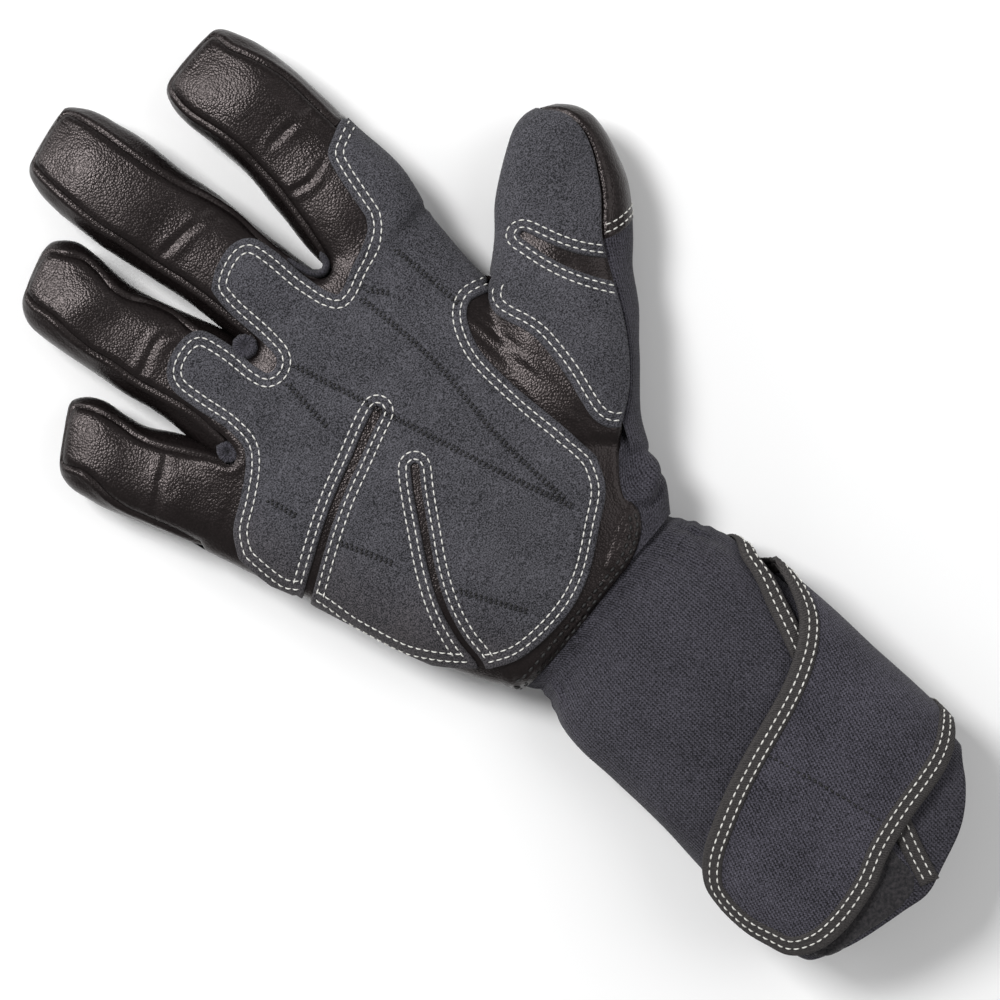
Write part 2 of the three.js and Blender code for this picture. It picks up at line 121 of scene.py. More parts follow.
def curve(points: Points | Array, step: float = 0.0) -> Array:
    """Draws a smooth line through points.

    Each span is a cubic whose end slopes come from the points on either side, with the knots the square root of
    the distance apart.

    Args:
        points: The points to pass through, with any number of columns.
        step: The spacing of the result, or 0 for the same number of points in every span.

    Returns:
        Points along the line.
    """
    p = np.asarray(points, float)
    if len(p) > 2:
        p = np.vstack([2 * p[0] - p[1], p, 2 * p[-1] - p[-2]])
        gap = np.sqrt(np.linalg.norm(np.diff(p, axis=0), axis=1)) + TINY
        a, b, c = gap[:-2, None], gap[1:-1, None], gap[2:, None]
        p0, p1, p2, p3 = p[:-3], p[1:-2], p[2:-1], p[3:]
        leave = b * ((p1 - p0) / a - (p2 - p0) / (a + b) + (p2 - p1) / b)
        arrive = b * ((p2 - p1) / b - (p3 - p1) / (b + c) + (p3 - p2) / c)
        t = np.linspace(0, 1, SPAN_POINTS + 1)[None, :-1, None]
        spans = (
            (2 * t**3 - 3 * t**2 + 1) * p1[:, None]
            + (t**3 - 2 * t**2 + t) * leave[:, None]
            + (3 * t**2 - 2 * t**3) * p2[:, None]
            + (t**3 - t**2) * arrive[:, None]
        )
        p = np.vstack([spans.reshape(-1, p.shape[1]), p[-2]])
    return even(p, step) if step else p


def aside(line: Array, distance: float, closed: bool = False) -> Array:
    """Shifts a line sideways.

    Args:
        line: Points in a plane.
        distance: The shift, to the left of travel where it is positive.
        closed: Whether the last point goes on to the first.

    Returns:
        The shifted points.
    """
    ahead = np.roll(line, -1, 0) - np.roll(line, 1, 0) if closed else np.gradient(line, axis=0)
    ahead = ahead / (np.linalg.norm(ahead, axis=1, keepdims=True) + TINY)
    return line + distance * np.stack([-ahead[:, 1], ahead[:, 0]], -1)


def reach_to(points: Array, line: Array, closed: bool = False) -> Array:
    """Measures how far points lie from a line.

    Args:
        points: Points in the line's own space.
        line: The line's points.
        closed: Whether the last point goes on to the first.

    Returns:
        The shortest distance of each point.
    """
    start = line if closed else line[:-1]
    span = (np.roll(line, -1, 0) if closed else line[1:]) - start
    size = (span**2).sum(1) + 1e-12
    best = []
    for part in np.array_split(points, max(1, len(points) // AT_ONCE)):
        lead = part[:, None] - start[None]
        along = np.clip((lead * span).sum(2) / size, 0, 1)
        best.append(np.sqrt(((lead - along[..., None] * span) ** 2).sum(2).min(1)))
    return np.concatenate(best)


def within(points: Array, loop: Array) -> Array:
    """Tells which points lie inside a closed loop: those with an odd number of its edges to their right.

    Args:
        points: Points in a plane.
        loop: The loop's points.

    Returns:
        True for each point inside.
    """
    x1, y1 = loop.T
    x2, y2 = np.roll(loop, -1, 0).T
    slope = (x2 - x1) / np.where(y2 == y1, 1e-12, y2 - y1)
    found = []
    for part in np.array_split(points, max(1, len(points) // AT_ONCE)):
        x, y = part[:, :1], part[:, 1:2]
        crossed = ((y1 > y) != (y2 > y)) & (x < x1 + (y - y1) * slope)
        found.append(crossed.sum(1) % 2 == 1)
    return np.concatenate(found)


@dataclass
class Region:
    """A flat area: the inside of an outline without its slots."""

    outline: Array
    slots: list[Array] = field(default_factory=list)

    # The distances of the close rows from the edge, and the honeycomb's from row to row and from them, as shares.
    INSETS = (0.14, 0.4)
    ROW_SHARE = 0.866
    CLEAR_SHARE = 0.35
    INSET_SHARE = 0.9
    MERGED = 1e-4
    SLIVER = 1e-7

    def loops(self) -> tuple[Array, ...]:
        """Gives the area's edges: its outline and its slots."""
        return (self.outline, *self.slots)

    def contains(self, points: Array) -> Array:
        """Tells which points lie in the area.

        Args:
            points: Points of the plane.

        Returns:
            True for each point inside the outline and outside every slot.
        """
        inside = within(points, self.outline)
        for slot in self.slots:
            inside &= ~within(points, slot)
        return inside

    def from_rim(self, points: Array) -> Array:
        """Measures how far points lie from the area's edge."""
        return np.min([reach_to(points, loop, True) for loop in self.loops()], axis=0)

    def fill(self, spacing: float) -> tuple[Array, Array]:
        """Triangulates the area.

        The points are a honeycomb inside, close rows just within the edge, and the edge itself.

        Args:
            spacing: The distance between two points of the honeycomb.

        Returns:
            The points and the triangles, which turn anticlockwise.
        """
        low, high = self.outline.min(0), self.outline.max(0)
        across, along = np.arange(low[0], high[0], spacing), np.arange(low[1], high[1], spacing * self.ROW_SHARE)
        grid = np.stack(np.meshgrid(across, along), -1)
        grid[1::2, :, 0] += spacing / 2
        grid = grid.reshape(-1, 2)
        grid = grid[self.contains(grid)]
        points = [grid[self.from_rim(grid) > max(self.INSETS) + self.CLEAR_SHARE * spacing]]
        for inset in self.INSETS:
            near = np.vstack([aside(loop, side * inset, True) for loop in self.loops() for side in (-1, 1)])
            near = near[self.contains(near)]
            points.append(near[self.from_rim(near) > self.INSET_SHARE * inset])
        edges = []
        for loop in self.loops():
            first = sum(len(p) for p in points)
            edges += [(first + i, first + (i + 1) % len(loop)) for i in range(len(loop))]
            points.append(loop)
        corners = [Vector(p) for p in np.vstack(points).tolist()]
        made = delaunay_2d_cdt(corners, edges, [], 0, self.MERGED)
        flat = np.array([v[:] for v in made[0]])
        faces = np.array([f for f in made[2] if len(f) == 3])
        faces = faces[self.contains(flat[faces].mean(1))]
        a, b, c = flat[faces[:, 0]], flat[faces[:, 1]], flat[faces[:, 2]]
        turn = (b[:, 0] - a[:, 0]) * (c[:, 1] - a[:, 1]) - (b[:, 1] - a[:, 1]) * (c[:, 0] - a[:, 0])
        faces = np.where(turn[:, None] < 0, faces[:, ::-1], faces)[np.abs(turn) > self.SLIVER]
        used, order = np.unique(faces, return_inverse=True)
        return flat[used], order.reshape(-1, 3)


def ribbon(line: Array, widths: float | Array) -> Array:
    """Widens a line into a strip with a round last end.

    Args:
        line: The middle line.
        widths: The strip's width, or its width at each point.

    Returns:
        The strip's outline, anticlockwise.
    """
    half = np.broadcast_to(np.asarray(widths, float) / 2, len(line))[:, None]
    side = aside(line, 1.0) - line
    ahead = np.array([side[-1, 1], -side[-1, 0]])
    turn = np.linspace(-math.pi / 2, math.pi / 2, 12)[1:-1, None]
    end = line[-1] + half[-1] * (np.cos(turn) * ahead + np.sin(turn) * side[-1])
    return np.vstack([line - half * side, end, (line + half * side)[::-1]])


# Noise and meshes.


def ripple(points: Array, lengths: tuple[float, float, float] | float, seed: int) -> Array:
    """Smooth noise from about -1 to 1.

    The lattice values are the fraction of a large sine, and each point blends its eight neighbours.

    Args:
        points: Points in space, in mm.
        lengths: The size of a lattice cell, one number or one an axis.
        seed: A number that picks the pattern.

    Returns:
        One value a point.
    """
    q = points / np.asarray(lengths, float) + 100.0
    cell = np.floor(q)
    part = q - cell
    part = part * part * (3 - 2 * part)
    total = np.zeros(len(points))
    for corner in np.ndindex(2, 2, 2):
        spot = cell + corner
        value = np.sin(spot @ np.array(LATTICE_WAVES) + seed * SEED_WAVE) * SCATTER
        weight = np.prod(np.where(corner, part, 1 - part), axis=1)
        total += weight * (value - np.floor(value))
    return 2 * total - 1


@dataclass(frozen=True)
class Lumps:
    """Soft unevenness: noise of a depth, in cells of a size, in a pattern picked by its seed."""

    deep: float
    size: tuple[float, float, float] | float
    seed: int

    def at(self, points: Array) -> Array:
        """Gives its height at points in space."""
        return self.deep * ripple(points, self.size, self.seed)


def bell(distance: Array, width: float) -> Array:
    """A smooth hump: e to the power of minus the square of distance over width."""
    return np.exp(-((distance / width) ** 2))


def step_up(value: Array, start: float, end: float) -> Array:
    """Rises smoothly from 0 at start to 1 at end."""
    k = np.clip((value - start) / (end - start), 0, 1)
    return k * k * (3 - 2 * k)


@dataclass(frozen=True)
class Ridge:
    """A rounded ridge at a distance from a line, or a groove where its height is less than nothing."""

    high: float
    wide: float
    away: float = 0.0

    def at(self, distance: Array) -> Array:
        """Gives its height at distances from the line."""
        return self.high * bell(distance - self.away, self.wide)


def lumpy(kinds: tuple[Lumps, ...], points: Array) -> Array:
    """Adds up several kinds of lumps at points in space."""
    return sum(kind.at(points) for kind in kinds)


def face_normals(points: Array, faces: Array) -> Array:
    """Works out each point's normal: the sum of the normals of the faces round it, larger ones counting more.

    Args:
        points: Points in space.
        faces: The triangles or quads, as numbers of points.

    Returns:
        A unit vector a point.
    """
    across = points[faces[:, 2]] - points[faces[:, 0]]
    other = points[faces[:, -1]] - points[faces[:, 1]]
    turn = np.cross(across, other)
    total = np.zeros_like(points)
    for column in faces.T:
        np.add.at(total, column, turn)
    return total / (np.linalg.norm(total, axis=1, keepdims=True) + 1e-12)


def grid_faces(rows: int, columns: int, closed: bool = False) -> Array:
    """Numbers the quads of a grid of points.

    Args:
        rows: The number of rows.
        columns: The number of points in a row.
        closed: Whether a row's last point is joined to its first.

    Returns:
        The quads, as numbers of points.
    """
    i, j = np.meshgrid(np.arange(rows - 1), np.arange(columns if closed else columns - 1), indexing="ij")
    row, k = i * columns, (j + 1) % columns
    return np.stack([row + j, row + k, row + columns + k, row + columns + j], -1).reshape(-1, 4)


def unrolled(grid: Array, along: Array) -> Array:
    """Lays a grid's rows out flat, for the weave: each point's length round its row, and its place along.

    Args:
        grid: The points, by row and column.
        along: The place along of each point.

    Returns:
        Two numbers a point.
    """
    step = np.linalg.norm(np.diff(grid, axis=1), axis=2)
    round_by = np.hstack([np.zeros((len(grid), 1)), np.cumsum(step, axis=1)])
    return np.stack([round_by.ravel(), along], -1)


@dataclass
class Piece:
    """A mesh on its way to Blender, in mm."""

    name: str
    points: Array
    faces: Array
    flat: Array | None = None

    def swell(self, amount: Array) -> "Piece":
        """Moves every point along its own normal by an amount."""
        self.points = self.points + face_normals(self.points, self.faces) * np.asarray(amount)[:, None]
        return self

    def raise_to(self, low: float | Array = 0.0) -> "Piece":
        """Lifts every point to a least height, the floor's where none is given."""
        self.points[:, 2] = np.maximum(self.points[:, 2], low)
        return self

    def put(
        self, finish: bpy.types.Material, slot: Slot, nodes: tuple[str, ...] = (), wall: float = 0.0
    ) -> bpy.types.Object:
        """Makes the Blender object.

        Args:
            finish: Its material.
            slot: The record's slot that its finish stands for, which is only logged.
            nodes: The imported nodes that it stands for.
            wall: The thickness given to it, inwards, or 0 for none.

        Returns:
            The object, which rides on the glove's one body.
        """
        mesh = bpy.data.meshes.new(self.name)
        mesh.from_pydata((self.points * MM).tolist(), [], self.faces.tolist())
        if self.flat is not None:
            layer = mesh.uv_layers.new(name="cloth")
            corner = np.zeros(len(mesh.loops), int)
            mesh.loops.foreach_get("vertex_index", corner)
            layer.data.foreach_set("uv", (self.flat[corner] * MM).ravel().astype(np.float32))
        mesh.polygons.foreach_set("use_smooth", np.ones(len(mesh.polygons), bool))
        mesh.materials.append(finish)
        mesh.validate()
        mesh.update()
        piece = bpy.data.objects.new(self.name, mesh)
        bpy.context.scene.collection.objects.link(piece)
        if wall:
            thick = piece.modifiers.new("wall", "SOLIDIFY")
            thick.thickness = wall * MM
            thick.offset = -1
        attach(piece, "root")
        if nodes:
            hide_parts(*nodes)
        log.info("%s: %d points, %d faces, slot %s", self.name, len(self.points), len(self.faces), slot.value)
        return piece


def sheet_over(name: str, region: Region, surface: Surface, relief: Relief, spacing: float, up: int = 1) -> Piece:
    """Lays a filled area on a surface and raises it.

    Args:
        name: The piece's name.
        region: The area, in the surface's own plane.
        surface: Turns points of the plane into points in space.
        relief: Gives the height off the surface from the points in space and their distance from the edge.
        spacing: The distance between two points.
        up: 1 where the surface's own turn faces outwards, or -1.

    Returns:
        The piece, with the plane's coordinates kept for its weave.
    """
    flat, faces = region.fill(spacing)
    piece = Piece(name, surface(flat), faces if up > 0 else faces[:, ::-1], flat)
    return piece.swell(relief(piece.points, region.from_rim(flat)))


# The body of the glove.


@dataclass
class Tube:
    """A soft tube through slanted rows, each the left end's x and y, the right end's x and y, and its low and high z.

    A row's cross-section is a superellipse: the power of the distance across plus that of the height is one.
    """

    rows: Points
    power: float
    reach: float = 0.0
    fade: float = 9.0
    table: Array = field(init=False)
    way: Array = field(init=False)
    sense: float = field(init=False)

    # Each closing row's share of the reach, and its size beside the last row's.
    CLOSING = ((0.5, 0.72), (0.9, 0.32), (1.0, 0.001))
    LEAST_STEP = 1e-5
    HALVINGS = 20
    ON_ROW = 0.15
    SLACK = 0.4
    SINK = 10
    DENSE = 400

    def __post_init__(self) -> None:
        """Works out the close rows, and closes the far end where it has a reach."""
        rows = np.array(self.rows, float)
        if self.reach:
            left, right, height = rows[-1, :2], rows[-1, 2:4], rows[-1, 4:]
            across = right - left
            ahead = np.array([-across[1], across[0]]) / np.linalg.norm(across) * self.reach
            middle = (left + right) / 2
            for share, size in self.CLOSING:
                ends = [middle + share * ahead + size * (end - middle) for end in (left, right)]
                rows = np.vstack([rows, [*ends[0], *ends[1], *(height.mean() + size * (height - height.mean()))]])
        self.table = curve(rows)
        middle = (self.table[:, :2] + self.table[:, 2:4]) / 2
        steps = np.linalg.norm(np.diff(middle, axis=0), axis=1) + self.LEAST_STEP
        self.way = np.concatenate([[0], np.cumsum(steps)])
        self.sense = 1.0 if middle[-1, 1] > middle[0, 1] else -1.0

    def at_y(self, y: Array) -> Array:
        """Gives the distances along the tube of the rows at values of y, where its rows are level."""
        return np.interp(self.sense * y, self.sense * self.table[:, 1], self.way)

    def row(self, way: Array) -> Array:
        """Gives the row at each distance along the tube."""
        return np.stack([np.interp(way, self.way, column) for column in self.table.T], -1)

    def ring(self, way: Array, angle: Array) -> Array:
        """Gives points on the tube.

        Args:
            way: Distances along the tube.
            angle: Angles round it: 0 at the right side, a quarter turn at the top.

        Returns:
            The points, where across and up are the cosine and sine to the power of two over the tube's power.
        """
        lx, ly, rx, ry, low, high = np.moveaxis(self.row(way), -1, 0)
        cos, sin = np.cos(angle), np.sin(angle)
        across = (np.sign(cos) * np.abs(cos) ** (2 / self.power) + 1) / 2
        up = np.sign(sin) * np.abs(sin) ** (2 / self.power)
        z = (low + high) / 2 + (high - low) / 2 * up
        return np.stack([lx + (rx - lx) * across, ly + (ry - ly) * across, np.maximum(z, 0)], -1)

    def locate(self, flat: Array) -> tuple[Array, Array, Array]:
        """Finds points of the plan in the tube, by halving the stretch of it that each point lies in.

        Args:
            flat: The points.

        Returns:
            Their distances along the tube, their places across it from -1 to 1, and which lie on one of its rows.
        """
        low, high = np.zeros(len(flat)), np.full(len(flat), self.way[-1])
        for _ in range(self.HALVINGS):
            way = (low + high) / 2
            row = self.row(way)
            span, lead = row[:, 2:4] - row[:, :2], flat - row[:, :2]
            ahead = self.sense * (span[:, 0] * lead[:, 1] - span[:, 1] * lead[:, 0]) > 0
            low, high = np.where(ahead, way, low), np.where(ahead, high, way)
        size = np.linalg.norm(span, axis=1) + TINY
        off = np.abs(span[:, 0] * lead[:, 1] - span[:, 1] * lead[:, 0]) / size
        return way, 2 * (lead * span).sum(1) / size**2 - 1, off < self.ON_ROW

    def side(self, way: Array, up: int = 1) -> tuple[Array, Array]:
        """Gives the tube's middle height and half height at distances along it."""
        row = self.row(way)
        return (row[:, 4] + row[:, 5]) / 2, up * (row[:, 5] - row[:, 4]) / 2

    def face(self, flat: Array, up: int = 1) -> Array:
        """Gives the height of the tube's top or underside, which sinks in at its start where the tube fades.

        Args:
            flat: Points of the plan.
            up: 1 for the top, or -1 for the underside.

        Returns:
            The heights, FAR_BELOW off the tube's top and as far above off its underside.
        """
        way, across, on = self.locate(flat)
        row = self.row(way)
        slack = self.SLACK / (np.linalg.norm(row[:, 2:4] - row[:, :2], axis=1) + TINY)
        middle, half = self.side(way, up)
        z = middle + half * np.maximum(0, 1 - np.abs(across) ** self.power) ** (1 / self.power)
        z = z - up * self.SINK * (1 - step_up(way, 0, self.fade)) if self.fade else z
        return np.where(on & (np.abs(across) <= 1 + 2 * slack), z, up * FAR_BELOW)

    def edge(self, side: int, start: float, end: float) -> Array:
        """Gives the tube's edge in plan between two values of y.

        Args:
            side: -1 for the left edge, or 1 for the right.
            start: The y of the first point.
            end: The y of the last point.

        Returns:
            The edge's points.
        """
        line = self.table[:, :2] if side < 0 else self.table[:, 2:4]
        low, high = sorted((start, end))
        line = even(line[(line[:, 1] >= low) & (line[:, 1] <= high)], EDGE_STEP)
        return line if start < end else line[::-1]

    def strip(self, way: Array, start: Array, end: Array, columns: int) -> Array:
        """Lays a grid round part of the tube, its columns evenly spaced by length.

        Args:
            way: The distance along the tube of each row, or of each point of the grid.
            start: The angle at which each row starts.
            end: The angle at which each row ends.
            columns: The number of points in a row.

        Returns:
            The grid's points.
        """
        k = np.linspace(0, 1, self.DENSE)
        dense = start[:, None] + (end - start)[:, None] * k
        way = way[:, None] if way.ndim == 1 else way
        points = self.ring(way[:, :1], dense)
        length = np.cumsum(np.linalg.norm(np.diff(points, axis=1), axis=2), axis=1)
        length = np.hstack([np.zeros((len(length), 1)), length])
        at = np.linspace(0, 1, columns)
        angle = np.stack([np.interp(at * n[-1], n, a) for n, a in zip(length, dense)])
        return self.ring(way, angle)


def angle_at(across: Array, power: float) -> Array:
    """Gives the angle on the upper half of a ring at a place across it from -1 to 1."""
    across = np.clip(across, -1, 1)
    return np.arccos(np.sign(across) * np.abs(across) ** (power / 2))


@dataclass
class Finger:
    """A finger: its rows, the two seams of its front panel from the root up, and its creases."""

    name: str
    rows: Points
    left: Points
    right: Points
    creases: list[Points]
    tube: Tube = field(init=False)
    way: Array = field(init=False)
    start: Array = field(init=False)
    end: Array = field(init=False)

    POWER = 3.0
    REACH = 0.7
    STEP = 0.85
    TIP_STEP = 0.5
    # The length over which the seams turn together at the tip, their round there, and how far it is past them.
    TIP_TURN = 1.3
    TIP_POWER = 2.4
    TIP_PAST = 0.4
    # The seam that starts farther up than this stays at the finger's side below its start.
    COVERED = 30.0
    # The farthest up that the side leather starts to show.
    ROOT = 16.0

    def __post_init__(self) -> None:
        """Turns the seams into angles round the finger, which meet in one seam across its tip."""
        self.tube = Tube(self.rows, self.POWER, self.REACH)
        seams = [self.tube.locate(curve(line)) for line in (self.left, self.right)]
        top = max(seams[0][0][-1], seams[1][0][-1]) + self.TIP_PAST
        turn = top - self.TIP_TURN * np.cos(np.linspace(0, math.pi / 2, 16))
        reach = self.tube.way[-1]
        below = np.arange(0, top - self.TIP_TURN, self.STEP)
        above = np.arange(top + self.TIP_PAST, reach, self.TIP_STEP)
        self.way = np.unique(np.concatenate([below, turn, above, [reach]]))
        angles = []
        for (way, across, _), side in zip(seams, (-1, 1)):
            order = np.argsort(way)
            place = np.interp(self.way, way[order], across[order])
            k = np.clip((self.way - (top - self.TIP_TURN)) / self.TIP_TURN, 0, 1)
            place = place * np.maximum(0, 1 - k**self.TIP_POWER) ** (1 / self.TIP_POWER)
            if way.min() > self.COVERED:
                place = np.where(self.way < way.min(), side, place)
            angles.append(angle_at(place, self.tube.power))
        self.end, self.start = angles[0] - 2 * math.pi, angles[1]
        self.sewn_from = [min(way.min(), self.ROOT) for way, _, _ in seams]
        self.top = top

    def seam(self, side: int) -> Array:
        """Gives a seam in plan, from the root up to the middle of the tip.

        Args:
            side: -1 for the left seam, or 1 for the right.

        Returns:
            The seam's points.
        """
        angle = self.end if side < 0 else self.start
        line = self.tube.ring(self.way, angle)
        first = (self.left if side < 0 else self.right)[0][1] - 0.3
        return line[(line[:, 1] > first) & (self.way <= self.top + SAME) & (self.way > 1)][:, :2]


# The rows of the tubes, in the order that Tube gives.
HAND_ROWS = [
    (-47.5, -41, 19.5, -41, 1.0, 29.5), (-52, -34.5, 24, -34.5, -0.5, 30.5), (-61, -10, 33, -10, -1.2, 32),
    (-65.4, 8, 38, 8, -1.2, 31), (-69.8, 26, 38.5, 26, -1.2, 29.5), (-74.8, 42, 35.3, 42, -1.2, 28),
    (-78, 66, 38, 66, -1.2, 26), (-66, 76, 40, 76, 0.5, 25), (-54, 83, 32, 83, 3, 21.5),
]
THUMB_ROWS = [
    (0, -6, 26, -30, 2, 29), (8, 12, 36.6, -14.5, 1, 31.5), (28, 37, 58.6, 5, 0.8, 30),
    (37, 43.2, 67.6, 15.5, 1.2, 28.5), (46.6, 49.6, 78, 25.2, 1.8, 27.5), (55, 56.6, 85.4, 34.8, 2.6, 27.5),
    (69.4, 64.2, 90.9, 50.4, 5.6, 27), (74.6, 66.1, 90.2, 56.6, 8, 24.6), (79, 66.2, 87.4, 61.4, 11.5, 20.5),
]
SLEEVE_ROWS = [
    (-44.6, -38, 17.0, -38, 3.5, 27), (-46.6, -41.3, 18.6, -41.3, 2, 28.5), (-43.8, -46, 21, -46, 2.2, 28.5),
    (-45, -51, 23.4, -51, 1.2, 30.5), (-48.2, -58, 25.6, -58, 0, 34), (-49.6, -66, 26.2, -66, 3.6, 37),
    (-50, -76, 26, -76, 4.1, 38.5), (-50.6, -90, 26, -90, 4.1, 39.8), (-52, -110, 25.6, -110, 4.1, 40.4),
    (-54, -130, 25.2, -130, 4.1, 39.8), (-54.6, -145, 24, -145, 4.1, 38.5), (-53.8, -156, 22.6, -156, 2, 37.5),
    (-53, -170, 21, -170, 0, 36.5),
]
FINGERS = [
    Finger(
        "index",
        [
            (8, 66, 37.5, 66, 2, 24.5), (7.7, 84, 43.3, 84, -0.6, 25.2), (10.8, 102, 43.8, 102, -0.8, 24.4),
            (12.8, 117, 44.8, 117, -0.6, 24.2), (13.3, 130, 44.8, 130, 0.8, 24.8), (12.7, 140, 43.6, 140, 2.2, 23.4),
            (13.8, 147, 41.6, 147, 4.2, 21.4), (15.8, 150.5, 39.9, 150.5, 6.5, 19.6), (18.5, 151.8, 38, 151.8, 9, 18),
        ],
        [
            (9.5, 82), (11, 86), (12.5, 91), (13.8, 96), (15, 101), (16.2, 107), (17, 114), (17.7, 122), (17.3, 130),
            (16.3, 136), (15.8, 142), (16.6, 147), (18, 150.8),
        ],
        [
            (40.5, 105.5), (40.7, 110), (41.1, 116), (41.5, 125), (41, 130), (40, 135), (38.6, 139.5), (37.2, 144),
            (37.2, 148), (37.2, 151),
        ],
        [[(24, 116.4), (31, 115.6), (38.5, 114)], [(17, 103), (23, 101), (30, 101.3)]],
    ),
    Finger(
        "middle",
        [
            (-26, 68, 5.5, 68, 2, 24.5), (-25.2, 88, 4.7, 88, -0.6, 25.2), (-26, 105, 3.6, 104, -0.8, 24.6),
            (-28.3, 121, 3, 119.5, -0.6, 24.2), (-30.4, 136, 1.4, 134, 0.6, 25), (-31.5, 152, 0.5, 150, 2.4, 24),
            (-31, 158.5, -1.2, 160, 4, 22.2), (-29, 163.8, -3.4, 165.6, 6, 20.4), (-26.5, 166.2, -7, 169.5, 9, 18.2),
        ],
        [
            (-21.1, 89), (-21.4, 101), (-22.2, 110), (-23.6, 119), (-24.8, 130), (-26, 138), (-26.3, 147),
            (-26.2, 155), (-25.8, 162), (-25, 165.2),
        ],
        [
            (2, 88), (1, 94), (1.2, 102), (1.7, 111), (0.2, 120), (-2.3, 128), (-3.8, 136), (-4.8, 145), (-5.6, 155),
            (-7, 164), (-8.2, 168.7),
        ],
        [[(-20.5, 119.3), (-10, 118), (-2.5, 116.5)]],
    ),
    Finger(
        "ring",
        [
            (-55.5, 64, -24.6, 68, 2, 24), (-56, 84, -25, 87, -0.6, 24.8), (-58.4, 102, -28.6, 102, -0.8, 24),
            (-60.5, 117, -33, 117, -0.4, 23.4), (-61.8, 129.5, -34.1, 126.5, 0.8, 23.6),
            (-61.8, 135.5, -33.8, 134, 2.2, 22.3), (-60.4, 139.6, -34.6, 141.6, 4.2, 20.8),
            (-58, 142, -38.5, 146.2, 7, 19.2), (-54.8, 143.2, -41.8, 147, 9.5, 17.6),
        ],
        [
            (-49, 77), (-49.2, 84), (-51, 93), (-52.8, 101), (-53.6, 110), (-55, 117), (-55.3, 125), (-54.8, 132),
            (-55.6, 138.6), (-54.8, 142.2),
        ],
        [
            (-30, 87), (-31.5, 98), (-31.8, 107), (-33.6, 113), (-36.8, 118.6), (-37.7, 124), (-36.6, 130),
            (-36.8, 136), (-39.6, 141), (-42.2, 146),
        ],
        [[(-53, 100.5), (-46, 102.8), (-39, 104), (-34, 102)]],
    ),
    Finger(
        "little",
        [
            (-71.5, 46, -45.5, 56, 3, 22.5), (-81, 65, -54, 75, -0.8, 24.2), (-84.2, 75, -57.8, 84, -0.6, 23.2),
            (-87.2, 82.5, -61.6, 91, 0.4, 22.6), (-89, 89, -63.1, 97, 1.4, 22.4), (-89.8, 95, -64.2, 104, 3, 21.6),
            (-89.2, 99.4, -66.6, 109.6, 5.2, 20), (-87.4, 102, -70.4, 112.2, 8, 18),
        ],
        [
            (-76.7, 57), (-77.8, 61.5), (-79, 66), (-81.2, 73), (-83, 79), (-83.6, 85), (-83, 91), (-83, 95.4),
            (-85.6, 101.6),
        ],
        [
            (-54.5, 66), (-56.6, 70.5), (-60, 77), (-63.6, 83.4), (-65.5, 90), (-66, 97), (-67.8, 104.6),
            (-71.2, 110.8),
        ],
        [[(-79, 72), (-72, 76), (-64, 80)]],
    ),
]
# The seams and edges of the pieces in plan.
KNUCKLE_SEAM = [(-79, 59.9), (-54, 76), (-25, 86), (6.6, 82), (26, 84), (43, 86)]
GUSSET_SEAM = [(37.5, 42.6), (33.5, 36), (34.6, 26), (33.8, 16), (30, 2), (28.4, -6), (30, -13)]
THUMB_SEAM = [
    (83.4, 63.4), (86.2, 59), (86.7, 53), (84.5, 46.5), (76.5, 35.5), (66.5, 26), (59.5, 16), (51, 4), (40, -7),
    (30, -13),
]
HEEL_SEAM = [(30, -13), (20, -20.6), (14.6, -27), (13.4, -32.4), (9.8, -36.7), (2, -41)]
THUMB_BACK_SEAM = [(36, 42), (30, 16), (25, -6), (15, -41)]
WEB_EDGES = [
    [(-54.5, 66), (-53.4, 64.2), (-50.4, 64.8), (-48.8, 69.5), (-49, 77)],
    [(-30, 87), (-28.8, 83), (-26.4, 80.6), (-23.4, 80.8), (-21.6, 84), (-21.1, 89)],
    [(2, 88), (2, 84.5), (3.4, 81), (6, 79.2), (8.4, 79.8), (9.5, 82)],
]
# The palm patch's outer row of sewing, from the index finger round to the gusset, a span to a bend.
PALM_ROWS = [
    [(43.8, 104.5), (38, 102.4), (34, 100.6), (32, 96), (29.8, 88), (28, 81)],
    [(28, 81), (25, 77.6), (20, 75.2), (12, 73), (6, 71.2), (2.6, 71.6), (0.4, 76)],
    [(0.4, 76), (-0.8, 84), (-1.1, 96), (-2.4, 102), (-6, 103.9), (-13, 102.8), (-17.3, 100.6)],
    [(-17.3, 100.6), (-18.3, 94), (-18.6, 80), (-20.2, 73), (-24.4, 70.9), (-28.2, 72.4), (-29.6, 78)],
    [(-29.6, 78), (-30.4, 89), (-32.4, 95.6), (-37, 96.7), (-43.6, 94.8), (-46, 91.4), (-45.6, 82)],
    [(-45.6, 82), (-44.4, 72), (-45.4, 64), (-49.4, 59.4), (-58, 54), (-66, 49.8), (-70.3, 44.4)],
    [(-70.3, 44.4), (-70.2, 36), (-69.2, 29), (-67.2, 26.6)],
    [(-67.2, 26.6), (-65.6, 17), (-64.4, 6), (-61.4, -7), (-56, -17.6), (-47.3, -29)],
    [(-47.3, -29), (-40, -33.3), (-24, -35.2), (-12, -33), (2, -25.6), (11, -20), (15.4, -13)],
    [
        (15.4, -13), (15.7, -2), (15.3, 18), (16.6, 32), (20.4, 40.4), (24, 44), (27.6, 45.2), (31.2, 44.2),
        (34.4, 42.4),
    ],
]
